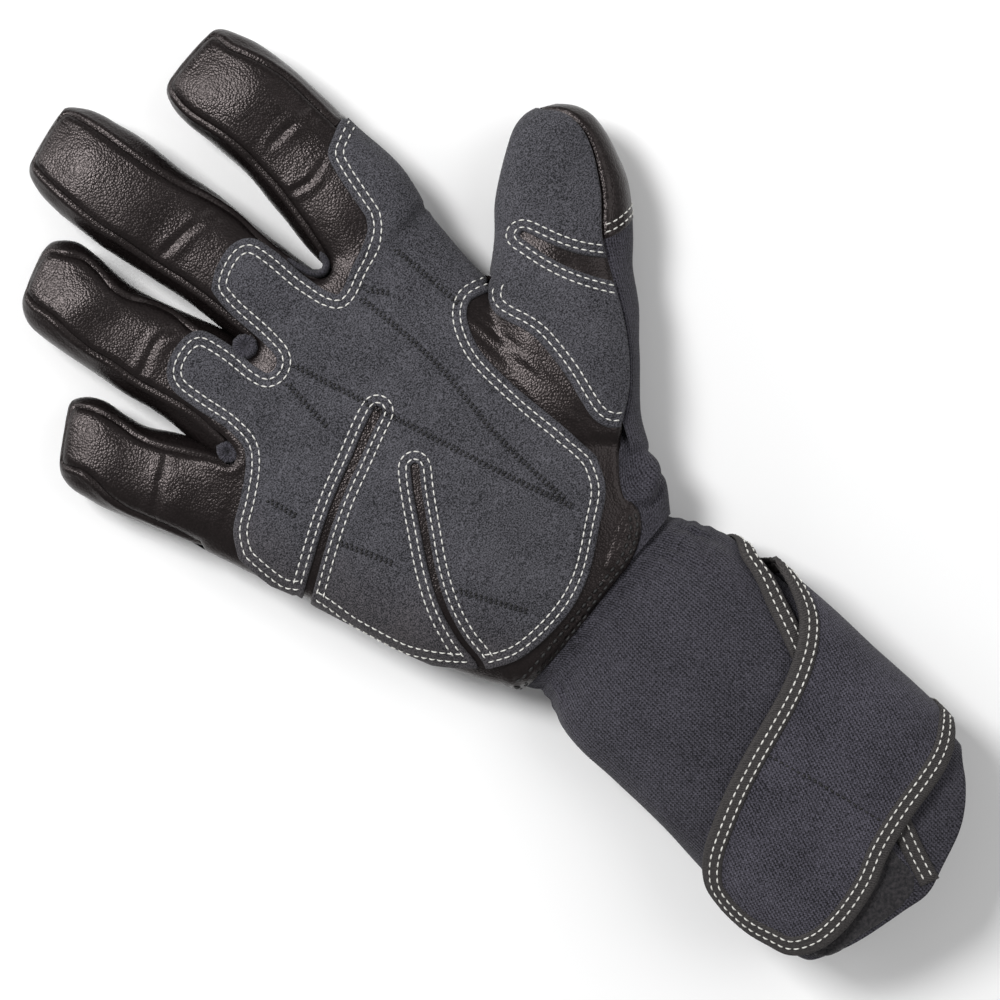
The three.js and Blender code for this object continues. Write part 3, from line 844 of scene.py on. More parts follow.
# The slots' middle lines, each point with the slot's width there, and the lines of the quilting.
PALM_SLOTS = [
    [
        (-75.4, 19.3, 2.6), (-67.4, 22.9, 2.5), (-59.4, 26.6, 2.3), (-49.4, 31.1, 2.2), (-39.4, 34.9, 2.2),
        (-29.4, 37.9, 2.3), (-19.4, 41, 2.5), (-14, 42.4, 2.4),
    ],
    [
        (-57.3, -38.8, 1.7), (-49.8, -28.8, 1.7), (-47.7, -18.8, 1.7), (-44.3, -9.5, 1.8), (-38.5, 0.1, 1.9),
        (-31.1, 9.6, 2.1), (-23.3, 19.2, 2.3), (-19.2, 23.6, 2.4),
    ],
]
QUILT_ROWS = [
    [(-20, 70), (-14, 45), (-8, 20), (-3, 0), (2, -18)],
    [(7.5, 68), (7.5, 40), (3, 10), (2, -15)],
    [(24.5, 70), (24.5, 45)],
    [(10, 68), (14, 62)],
    [(-25, 68), (-27, 50)],
    [(-54, 50), (-52, 40)],
    [(-50, 27), (-44, 10)],
    [(-38, -8), (-29, -28)],
]
# The y above which the thumb stands free, the edge of its patch beside the gusset, and its slot.
THUMB_FREE_Y = 43.2
THUMB_PATCH = [
    (36.4, 42.4), (32.4, 40.6), (29.8, 36.5), (30.2, 31), (31.3, 26), (31.6, 22), (30.6, 15), (28.9, 7.5), (26.4, 0),
    (24.9, -6), (25.8, -10.8), (28.8, -14),
]
THUMB_SLOT = [(66, 12, 8), (61.2, 18, 6.6), (56.5, 26.2, 4.8), (53.8, 34, 3.6), (52, 44, 2)]


class Body:
    """The glove's soft body: the hand, the fingers and the thumb melted together."""

    MELT = 1.0
    # Heights are measured from here, and kept between these shares, so that no exponential runs over.
    LEVEL = 30
    SHARES = (-80, 20)
    NOTHING = 1e-34

    def __init__(self) -> None:
        """Makes the tubes."""
        self.hand = Tube(HAND_ROWS, power=3.0, fade=0.0)
        self.thumb = Tube(THUMB_ROWS, power=2.6, reach=0.7, fade=14.0)
        self.tubes = [self.hand, self.thumb, *(finger.tube for finger in FINGERS)]

    def height(self, flat: Array, up: int = 1) -> Array:
        """Gives the glove's height: the logarithm of the sum of the exponentials of its tubes' heights.

        Args:
            flat: Points of the plan.
            up: 1 for the upper surface, or -1 for the underside.

        Returns:
            The heights, which melt the tubes together where they meet.
        """
        total = np.zeros(len(flat))
        for tube in self.tubes:
            low, high = tube.table[:, :4:2].min(), tube.table[:, :4:2].max()
            near = np.flatnonzero((flat[:, 0] > low - 1) & (flat[:, 0] < high + 1))
            if len(near):
                rise = (up * tube.face(flat[near], up) - self.LEVEL) / self.MELT
                total[near] += np.exp(np.clip(rise, *self.SHARES))
        z = np.log(total + self.NOTHING) * self.MELT + self.LEVEL
        return np.maximum(up * z, 0) if up < 0 else np.maximum(z, SEAM_Z)

    def front(self, flat: Array) -> Array:
        """Lifts points of the plan onto the upper surface."""
        return np.column_stack([flat, self.height(flat)])

    def back(self, flat: Array) -> Array:
        """Drops points of the plan onto the underside."""
        return np.column_stack([flat, np.minimum(self.height(flat, -1), BACK_SEAM_Z)])


def thumb_left(body: Body) -> Array:
    """Gives the thumb's left edge in plan, above the gusset."""
    left = body.thumb.table[:, :2]
    return even(left[left[:, 1] > THUMB_FREE_Y], EDGE_STEP)


# Finishes.


class Graph:
    """One material's nodes, with short calls to add them and join them."""

    def __init__(self, name: str) -> None:
        """Starts the material.

        Args:
            name: Its name.
        """
        self.material = bpy.data.materials.new(name)
        self.material.use_nodes = True
        self.tree = self.material.node_tree
        self.shader = self.tree.nodes["Principled BSDF"]

    def node(self, kind: str, inputs: dict | None = None, **settings: object) -> bpy.types.Node:
        """Adds a node.

        Args:
            kind: The node's type.
            inputs: Values or sockets by input name or number.
            settings: The node's own settings.

        Returns:
            The node.
        """
        made = self.tree.nodes.new(kind)
        for key, value in settings.items():
            setattr(made, key, value)
        for key, value in (inputs or {}).items():
            self.put(made.inputs[key], value)
        return made

    def put(self, socket: bpy.types.NodeSocket, value: object) -> None:
        """Sets an input to a value, or joins it to a socket.

        Args:
            socket: The input.
            value: The value or the socket.
        """
        if isinstance(value, bpy.types.NodeSocket):
            self.tree.links.new(value, socket)
        else:
            socket.default_value = value

    def math(self, operation: str, a: object, b: object = 0.0) -> bpy.types.NodeSocket:
        """Adds a sum, product or other operation on two numbers."""
        return self.node("ShaderNodeMath", {0: a, 1: b}, operation=operation).outputs[0]

    def noise(self, where: object, size: float, detail: float = 3.0) -> bpy.types.NodeSocket:
        """Adds noise whose blotches are about size mm across."""
        made = self.node("ShaderNodeTexNoise", {"Vector": where, "Scale": 1 / (size * MM), "Detail": detail})
        return made.outputs[0]

    def blend(self, share: object, a: tuple, b: tuple | object) -> bpy.types.NodeSocket:
        """Mixes two colours.

        Args:
            share: The share of the second, from 0 to 1.
            a: The first colour.
            b: The second colour.

        Returns:
            The mix's socket.
        """
        made = self.node("ShaderNodeMix", data_type="RGBA")
        for socket, value in ((0, share), (6, a), (7, b)):
            self.put(made.inputs[socket], value)
        return made.outputs[2]

    def span(
        self, value: object, low: float, high: float, to_low: float = 0.0, to_high: float = 1.0
    ) -> bpy.types.NodeSocket:
        """Stretches a range of numbers onto another, and stops at its ends."""
        numbers = {0: value, 1: low, 2: high, 3: to_low, 4: to_high}
        return self.node("ShaderNodeMapRange", numbers).outputs[0]

    def bump(self, height: object, depth: float, strength: float = 1.0, over: object = None) -> bpy.types.NodeSocket:
        """Adds a bump.

        Args:
            height: The height's socket.
            depth: What a height of 1 stands for, in mm.
            strength: The share of the bump that shows.
            over: Another bump that it lies over.

        Returns:
            The normal's socket.
        """
        inputs = {"Height": height, "Distance": depth * MM, "Strength": strength}
        if over is not None:
            inputs["Normal"] = over
        return self.node("ShaderNodeBump", inputs).outputs[0]

    def finish(self, **inputs: object) -> bpy.types.Material:
        """Sets the shader's inputs.

        Args:
            inputs: Values or sockets by the input's name, with underscores for spaces.

        Returns:
            The material.
        """
        for key, value in inputs.items():
            self.put(self.shader.inputs[key.replace("_", " ")], value)
        return self.material


@dataclass(frozen=True)
class Leather:
    """Soft black-brown hide with a fine pebbled grain, a painted highlight on each pebble's top, and a low gloss."""

    name: str = "goat_leather"
    # dark is the painted shade in the cracks between the pebbles, and light the painted highlight on their tops.
    dark: tuple = (0.0042, 0.0032, 0.0031, 1)
    light: tuple = (0.0135, 0.0102, 0.0102, 1)
    gloss: tuple = (1, 0.88, 0.87, 1)
    grain: float = 0.66
    pores_size: float = 0.35
    rub_size: float = 3.2
    worn_size: float = 9
    grain_deep: float = 0.12
    rub_deep: float = 0.2

    def make(self) -> bpy.types.Material:
        """Makes the material.

        Returns:
            The material.
        """
        g = Graph(self.name)
        where = g.node("ShaderNodeTexCoord").outputs["Object"]
        cells = {"Vector": where, "Scale": 1 / (self.grain * MM), "Randomness": 1.0}
        cell = g.node("ShaderNodeTexVoronoi", cells, feature="F1").outputs["Distance"]
        pebble = g.math("SUBTRACT", 1.0, cell)
        worn = g.noise(where, self.worn_size)
        pores = g.noise(where, self.pores_size, 2)
        rub = g.noise(where, self.rub_size)
        # The grain's tone is a painted highlight on each pebble's top and painted shade in the cracks between them,
        # scaled by the worn noise.
        shade = g.math("MULTIPLY", pebble, g.span(worn, 0.25, 0.75, 0.35, 1.0))
        lower = g.bump(rub, self.rub_deep, 0.3)
        pebbled = g.math("ADD", pebble, g.math("MULTIPLY", pores, 0.2))
        return g.finish(
            Base_Color=g.blend(shade, self.dark, self.light),
            Roughness=g.span(worn, 0.3, 0.7, 0.25, 0.33),
            Specular_IOR_Level=0.31,
            Specular_Tint=self.gloss,
            Normal=g.bump(pebbled, self.grain_deep, 0.8, lower),
        )


@dataclass(frozen=True)
class Suede:
    """Slate grey napped suede, browner towards the little finger's edge."""

    name: str = "palm_suede"
    dark: tuple = (0.011, 0.0112, 0.0132, 1)
    light: tuple = (0.104, 0.102, 0.117, 1)
    # The brown mixed in towards the little finger's edge.
    worn: tuple = (0.08, 0.064, 0.06, 1)
    nap_size: float = 0.42
    cloud_size: float = 14
    nap_deep: float = 0.26
    # Where the brown starts and is at its fullest, in metres from the middle towards the little finger.
    brown_from: float = 0.05
    brown_to: float = 0.085

    def make(self) -> bpy.types.Material:
        """Makes the material.

        Returns:
            The material.
        """
        g = Graph(self.name)
        where = g.node("ShaderNodeTexCoord").outputs["Object"]
        nap = g.noise(where, self.nap_size, 2)
        cloud = g.noise(where, self.cloud_size, 3)
        x, y, _ = g.node("ShaderNodeSeparateXYZ", {0: where}).outputs
        edge = g.math("ADD", g.math("MULTIPLY", x, -1.0), g.math("MULTIPLY", y, -0.35))
        ragged = g.math("ADD", edge, g.math("MULTIPLY", cloud, 0.02))
        brown = g.span(ragged, self.brown_from, self.brown_to, 0.0, 0.75)
        tone = g.math("ADD", g.span(nap, 0.36, 0.68), g.span(cloud, 0.3, 0.7, -0.1, 0.1))
        slate = g.blend(tone, self.dark, self.light)
        return g.finish(
            Base_Color=g.blend(brown, slate, g.blend(tone, self.dark, self.worn)),
            Roughness=0.95,
            Specular_IOR_Level=0.2,
            Sheen_Weight=0.08,
            Sheen_Roughness=0.5,
            Normal=g.bump(nap, self.nap_deep, 0.8),
        )


@dataclass(frozen=True)
class Knit:
    """Charcoal ribbed knit: ribs side by side, each a column of small loops."""

    name: str = "charcoal_knit"
    dark: tuple = (0.007, 0.0068, 0.0092, 1)
    light: tuple = (0.09, 0.0855, 0.106, 1)
    rib: float = 0.95
    loop: float = 0.85
    tilt: float = 0.0
    fuzz_size: float = 0.5
    drift_size: float = 6
    cloud_size: float = 16
    drift_wide: float = 0.0006
    loop_slant: float = 1.6
    weave_deep: float = 0.16

    def make(self) -> bpy.types.Material:
        """Makes the material.

        Returns:
            The material.
        """
        g = Graph(self.name)
        cloth = g.node("ShaderNodeUVMap", uv_map="cloth").outputs[0]
        turned = g.node("ShaderNodeMapping", {"Vector": cloth, "Rotation": (0, 0, self.tilt)}).outputs[0]
        body = g.node("ShaderNodeTexCoord").outputs["Object"]
        x, y, _ = g.node("ShaderNodeSeparateXYZ", {0: turned}).outputs
        drift = g.math("MULTIPLY", g.noise(body, self.drift_size), self.drift_wide)
        rib = g.math("SINE", g.math("MULTIPLY", g.math("ADD", x, drift), 2 * math.pi / (self.rib * MM)))
        lean = g.math("MULTIPLY", rib, self.loop_slant)
        slant = g.math("ADD", g.math("MULTIPLY", y, 2 * math.pi / (self.loop * MM)), lean)
        loops = g.math("SINE", slant)
        height = g.math("ADD", g.math("MULTIPLY", rib, 0.6), g.math("MULTIPLY", loops, 0.4))
        fuzz = g.noise(body, self.fuzz_size, 3)
        cloud = g.noise(body, self.cloud_size, 3)
        tone = g.math("ADD", g.span(height, -1, 1, 0.05, 0.7), g.span(fuzz, 0.35, 0.65, -0.3, 0.3))
        tone = g.math("ADD", tone, g.span(cloud, 0.3, 0.7, -0.07, 0.07))
        return g.finish(
            Base_Color=g.blend(tone, self.dark, self.light),
            Roughness=0.9,
            Specular_IOR_Level=0.2,
            Sheen_Weight=0.07,
            Sheen_Roughness=0.5,
            Normal=g.bump(g.math("ADD", height, g.math("MULTIPLY", fuzz, 0.8)), self.weave_deep, 0.8),
        )


@dataclass(frozen=True)
class Tape:
    """Woven tape with a fine diagonal twill."""

    name: str = "binding_tape"
    dark: tuple = (0.018, 0.0165, 0.0165, 1)
    light: tuple = (0.08, 0.073, 0.072, 1)
    twill: float = 0.7
    fuzz_size: float = 0.4
    weave_deep: float = 0.1

    def make(self) -> bpy.types.Material:
        """Makes the material.

        Returns:
            The material.
        """
        g = Graph(self.name)
        body = g.node("ShaderNodeTexCoord").outputs["Object"]
        x, y, z = g.node("ShaderNodeSeparateXYZ", {0: body}).outputs
        slope = g.math("ADD", g.math("ADD", x, z), y)
        twill = g.math("SINE", g.math("MULTIPLY", slope, 2 * math.pi / (self.twill * MM)))
        fuzz = g.noise(body, self.fuzz_size, 3)
        tone = g.math("ADD", g.span(twill, -1, 1, 0.1, 0.5), g.span(fuzz, 0.3, 0.7, -0.2, 0.4))
        return g.finish(
            Base_Color=g.blend(tone, self.dark, self.light),
            Roughness=0.8,
            Specular_IOR_Level=0.3,
            Normal=g.bump(g.math("ADD", twill, fuzz), self.weave_deep, 0.7),
        )


@dataclass(frozen=True)
class Pile:
    """A dense brushed pile of tiny loops."""

    name: str = "loop_pile"
    dark: tuple = (0.006, 0.006, 0.008, 1)
    light: tuple = (0.036, 0.032, 0.035, 1)
    tuft_size: float = 0.9
    tuft_deep: float = 0.8

    def make(self) -> bpy.types.Material:
        """Makes the material.

        Returns:
            The material.
        """
        g = Graph(self.name)
        body = g.node("ShaderNodeTexCoord").outputs["Object"]
        tuft = g.noise(body, self.tuft_size, 4)
        return g.finish(
            Base_Color=g.blend(g.span(tuft, 0.35, 0.68), self.dark, self.light),
            Roughness=0.95,
            Sheen_Weight=0.15,
            Normal=g.bump(tuft, self.tuft_deep),
        )


@dataclass(frozen=True)
class Thread:
    """Twisted sewing thread."""

    name: str = "white_thread"
    shade: tuple = (0.78, 0.77, 0.73, 1)
    dark: tuple = (0.45, 0.44, 0.41, 1)
    twist_size: float = 0.35
    twist_deep: float = 0.12

    def make(self) -> bpy.types.Material:
        """Makes the material.

        Returns:
            The material.
        """
        g = Graph(self.name)
        body = g.node("ShaderNodeTexCoord").outputs["Object"]
        twist = g.noise(body, self.twist_size, 2)
        return g.finish(
            Base_Color=g.blend(g.span(twist, 0.35, 0.6), self.dark, self.shade),
            Roughness=0.6,
            Normal=g.bump(twist, self.twist_deep, 0.6),
        )


class Finishes:
    """Every finish of the glove, made once."""

    def __init__(self) -> None:
        """Makes the materials."""
        self.leather = Leather().make()
        self.suede = Suede().make()
        self.knit = Knit().make()
        self.strap = Knit("strap_knit", light=(0.113, 0.107, 0.136, 1), tilt=math.radians(17)).make()
        self.tape = Tape().make()
        self.pile = Pile().make()
        self.thread = Thread().make()
        self.dark_thread = Thread("black_thread", (0.012, 0.011, 0.011, 1), (0.004, 0.004, 0.004, 1)).make()


# Stitches.


@dataclass(frozen=True)
class Stitch:
    """A stitch that stands out of the cloth in the middle and dives into it at both ends."""

    length: float = 1.9
    pitch: float = 2.35
    width: float = 0.46
    height: float = 0.42
    lift: float = 0.1
    around: int = 6
    along: int = 5

    # The half step over which the surface's directions are felt, the least thickness, and the dive of the ends.
    FEEL = 0.4
    LEAST_THICK = 0.06
    DIVE = 0.3
    # The quads that close a stitch's two ends, over the points of its first and last ring.
    FIRST_CAP = ((3, 2, 1, 0), (5, 4, 3, 0))
    LAST_CAP = ((0, 1, 2, 3), (0, 3, 4, 5))

    def sew(self, name: str, lines: list[Array], surface: Surface) -> Piece:
        """Sews rows of stitches.

        A stitch is a grid: along it the radius is the square root of one less the fourth power of the distance
        from its middle, and round it an ellipse of its width and height.

        Args:
            name: The piece's name.
            lines: The rows, in the surface's plane.
            surface: Turns points of the plane into points in space.

        Returns:
            All the stitches as one piece.
        """
        middles, aheads = [], []
        for line in lines:
            spots = even(line, self.pitch)
            if len(spots) > 1:
                middles.append((spots[:-1] + spots[1:]) / 2)
                aheads.append(np.diff(spots, axis=0))
        middle = np.vstack(middles)
        ahead = np.vstack(aheads)
        ahead = ahead / (np.linalg.norm(ahead, axis=1, keepdims=True) + TINY) * self.FEEL
        aside_by = np.stack([-ahead[:, 1], ahead[:, 0]], -1)
        place = surface(middle)
        run = surface(middle + ahead) - surface(middle - ahead)
        cross = surface(middle + aside_by) - surface(middle - aside_by)
        run /= np.linalg.norm(run, axis=1, keepdims=True) + TINY
        rise = np.cross(run, cross)
        rise /= np.linalg.norm(rise, axis=1, keepdims=True) + TINY
        cross = np.cross(rise, run)
        k = np.linspace(-1, 1, self.along)
        thick = np.maximum(1 - k**4, self.LEAST_THICK) ** 0.5
        turn = np.linspace(0, 2 * math.pi, self.around, endpoint=False)
        out = np.cos(turn)[None] * thick[:, None] * self.width / 2
        middle_high = (self.lift - self.DIVE * k**2)[:, None]
        high = np.sin(turn)[None] * thick[:, None] * self.height / 2 + middle_high
        grid = (
            place[:, None, None]
            + (k * self.length / 2)[None, :, None, None] * run[:, None, None]
            + out[None, ..., None] * cross[:, None, None]
            + high[None, ..., None] * rise[:, None, None]
        )
        one = grid_faces(self.along, self.around, True)
        one = np.vstack([one, self.FIRST_CAP, np.array(self.LAST_CAP) + self.around * (self.along - 1)])
        size = self.around * self.along
        faces = (np.arange(len(middle))[:, None, None] * size + one).reshape(-1, 4)
        return Piece(name, grid.reshape(-1, 3), faces)


class Sewing(Enum):
    """The glove's kinds of stitch."""

    PATCH_WHITE = Stitch()
    CAP_WHITE = Stitch(lift=0.65)
    WRAP_WHITE = Stitch(length=1.8, pitch=2.4, width=0.5, height=0.45, lift=1.7)
    STRAP_WHITE = Stitch(length=1.8, pitch=2.4, width=0.5, height=0.45, lift=0.5)
    QUILTING = Stitch(length=0.8, pitch=1.5, width=0.8, height=0.5, lift=0.12)
    HEM_BLACK = Stitch(length=2.0, pitch=2.6, width=0.8, height=0.7, lift=0.95)
    STRAP_BLACK = Stitch(length=1.3, pitch=1.9, width=0.6, height=0.5, lift=-0.25)

    def put(self, name: str, rows: list[Array], surface: Surface, finishes: Finishes) -> None:
        """Sews rows of this stitch in its own thread, white or black.

        Args:
            name: The piece's name.
            rows: The rows, in the surface's plane.
            surface: Turns points of the plane into points in space.
            finishes: The finishes, with both threads among them.
        """
        black = self in (Sewing.QUILTING, Sewing.HEM_BLACK, Sewing.STRAP_BLACK)
        thread, slot = (finishes.dark_thread, Slot.DARK_THREAD) if black else (finishes.thread, Slot.THREAD)
        self.value.sew(name, rows, surface).put(thread, slot)


def kept(line: Array, keep: Array, least: int) -> list[Array]:
    """Splits a line into its stretches of kept points.

    Args:
        line: The line's points.
        keep: True for each point that is kept.
        least: The fewest points that a stretch has.

    Returns:
        The stretches.
    """
    cuts = np.flatnonzero(np.diff(keep.astype(int))) + 1
    parts = zip(np.split(line, cuts), np.split(keep, cuts))
    return [part for part, good in parts if good[0] and len(part) >= least]


# The sub-assemblies.


@dataclass
class LeatherParts:
    """The leather palm with the fronts of the fingers, and the fingers' side walls and backs."""

    body: Body
    finishes: Finishes
    spacing: float = 0.95
    columns: int = 84
    gusset_deep: float = 0.42
    root_sink: float = 1.2
    root_drop: float = 6.0

    LUMPS = (Lumps(0.26, 13, 3), Lumps(0.1, 5.5, 5))
    SIDE_LUMPS = (Lumps(0.4, 13, 13), Lumps(0.14, 5, 15))
    SEAM_GROOVE = Ridge(-0.4, 0.45)
    PALM_SWELL = Ridge(0.2, 1.2, 1.9)
    SIDE_RIDGE = Ridge(0.5, 1.0, 1.5)
    CREASE = Ridge(-0.42, 0.8)
    CREASE_BANK = Ridge(0.12, 1.3, 2.2)
    CREASED = Ridge(0.2, 5)
    CREASE_FOLDS = Lumps(1, (6, 1.9, 9), 11)
    # The gusset's folds run along its middle, which leans, and fade at its two ends.
    GUSSET_FOLDS = (Lumps(1, (2.1, 17, 40), 8), Lumps(0.6, (1.2, 9, 40), 9))
    GUSSET_X, GUSSET_Y, GUSSET_LEAN, GUSSET_WIDE = 24, 15, 0.05, 9
    GUSSET_STARTS, GUSSET_ENDS = (-16, -4), (38, 48)
    # Below its seams' first points a finger sinks into the hand, its upper part the most.
    ROOT_FADES, ROOT_HIGH, ROOT_UNDER = (-14, -6), (12, 22), (12, 20)
    # The distances from a seam, and from the tip, over which the relief comes up; the back lies flat below a height.
    PALM_FADES, SIDE_FADES, TIP_FADES, FLAT_BELOW = (0, 3), (0, 6), (0.5, 4), 1.5

    def outline(self) -> Array:
        """Draws the outline of the palm with the fronts of the fingers, anticlockwise from the heel's thumb side.

        Returns:
            The outline's points.
        """
        hand = self.body.hand
        index, middle, ring, little = FINGERS
        line = [
            curve(HEEL_SEAM, EDGE_STEP)[::-1],
            curve(GUSSET_SEAM, EDGE_STEP)[::-1],
            hand.edge(1, 46, 70),
            index.tube.edge(1, 73, 105),
            index.seam(1),
            index.seam(-1)[::-1],
            curve(WEB_EDGES[2], BEND_STEP)[::-1],
            middle.seam(1),
            middle.seam(-1)[::-1],
            curve(WEB_EDGES[1], BEND_STEP)[::-1],
            ring.seam(1),
            ring.seam(-1)[::-1],
            curve(WEB_EDGES[0], BEND_STEP)[::-1],
            little.seam(1),
            little.seam(-1)[::-1],
            hand.edge(-1, 55, -41),
        ]
        return thinned(np.vstack(line), 0.2)

    def relief(self, points: Array) -> Array:
        """Gives the leather's soft lumps, the wrinkles of the gusset and the creases of the fingers.

        Args:
            points: Points in space.

        Returns:
            Their heights off the smooth surface.
        """
        flat = points[:, :2]
        x, y = flat.T
        gusset = bell(np.abs(x - self.GUSSET_X + self.GUSSET_LEAN * (y - self.GUSSET_Y)), self.GUSSET_WIDE)
        gusset = gusset * step_up(y, *self.GUSSET_STARTS) * (1 - step_up(y, *self.GUSSET_ENDS))
        total = lumpy(self.LUMPS, points) + self.gusset_deep * gusset * lumpy(self.GUSSET_FOLDS, points)
        for finger in FINGERS:
            for line in finger.creases:
                away = reach_to(flat, curve(line, 1.0))
                total += self.CREASE_BANK.at(away) + self.CREASE.at(away)
                total += self.CREASED.at(away) * self.CREASE_FOLDS.at(points)
        return total

    def palm(self) -> None:
        """Makes the palm with the fronts of the fingers: a sheet on the glove's upper surface."""

        def relief(points: Array, rim: Array) -> Array:
            """Dips to the seam and swells beside it."""
            soft = self.relief(points) * step_up(rim, *self.PALM_FADES)
            return soft + self.SEAM_GROOVE.at(rim) + self.PALM_SWELL.at(rim)

        sheet = sheet_over("palm_leather", Region(self.outline()), self.body.front, relief, self.spacing)
        sheet.put(self.finishes.leather, Slot.LEATHER, ("palm_panel",))

    def finger(self, finger: Finger) -> None:
        """Makes a finger's side walls and back: a grid round the finger from one seam of its front to the other.

        Args:
            finger: The finger.
        """
        rows, columns = len(finger.way), self.columns
        grid = finger.tube.strip(finger.way, finger.start, finger.end, columns)
        points = grid.reshape(-1, 3)
        sewn = finger.way <= finger.top + SAME
        rim = reach_to(points, np.vstack([grid[sewn, 0][::-1], grid[sewn, -1]]))
        left, right = finger.sewn_from
        first = right + (left - right) * np.linspace(0, 1, columns)
        root = 1 - step_up((finger.way[:, None] - first).ravel(), *self.ROOT_FADES)
        under = np.repeat(1 - step_up(finger.way, *self.ROOT_UNDER), columns)
        piece = Piece(f"{finger.name}_side_leather", points, grid_faces(rows, columns))
        lumps = lumpy(self.SIDE_LUMPS, points) * step_up(rim, *self.SIDE_FADES)
        lumps = np.where(points[:, 2] < self.FLAT_BELOW, 0, lumps)
        tip = np.repeat(step_up(finger.top - finger.way, *self.TIP_FADES), columns)
        seam_relief = tip * self.SIDE_RIDGE.at(rim) + self.SEAM_GROOVE.at(rim)
        piece.swell(lumps + seam_relief - self.root_sink * root)
        z = piece.points[:, 2]
        piece.points[:, 2] = z - self.root_drop * root * step_up(z, *self.ROOT_HIGH)
        piece.raise_to(under).put(self.finishes.leather, Slot.LEATHER, (f"{finger.name}_sides",))

    def build(self) -> None:
        """Makes every leather piece of the palm and fingers."""
        self.palm()
        for finger in FINGERS:
            self.finger(finger)


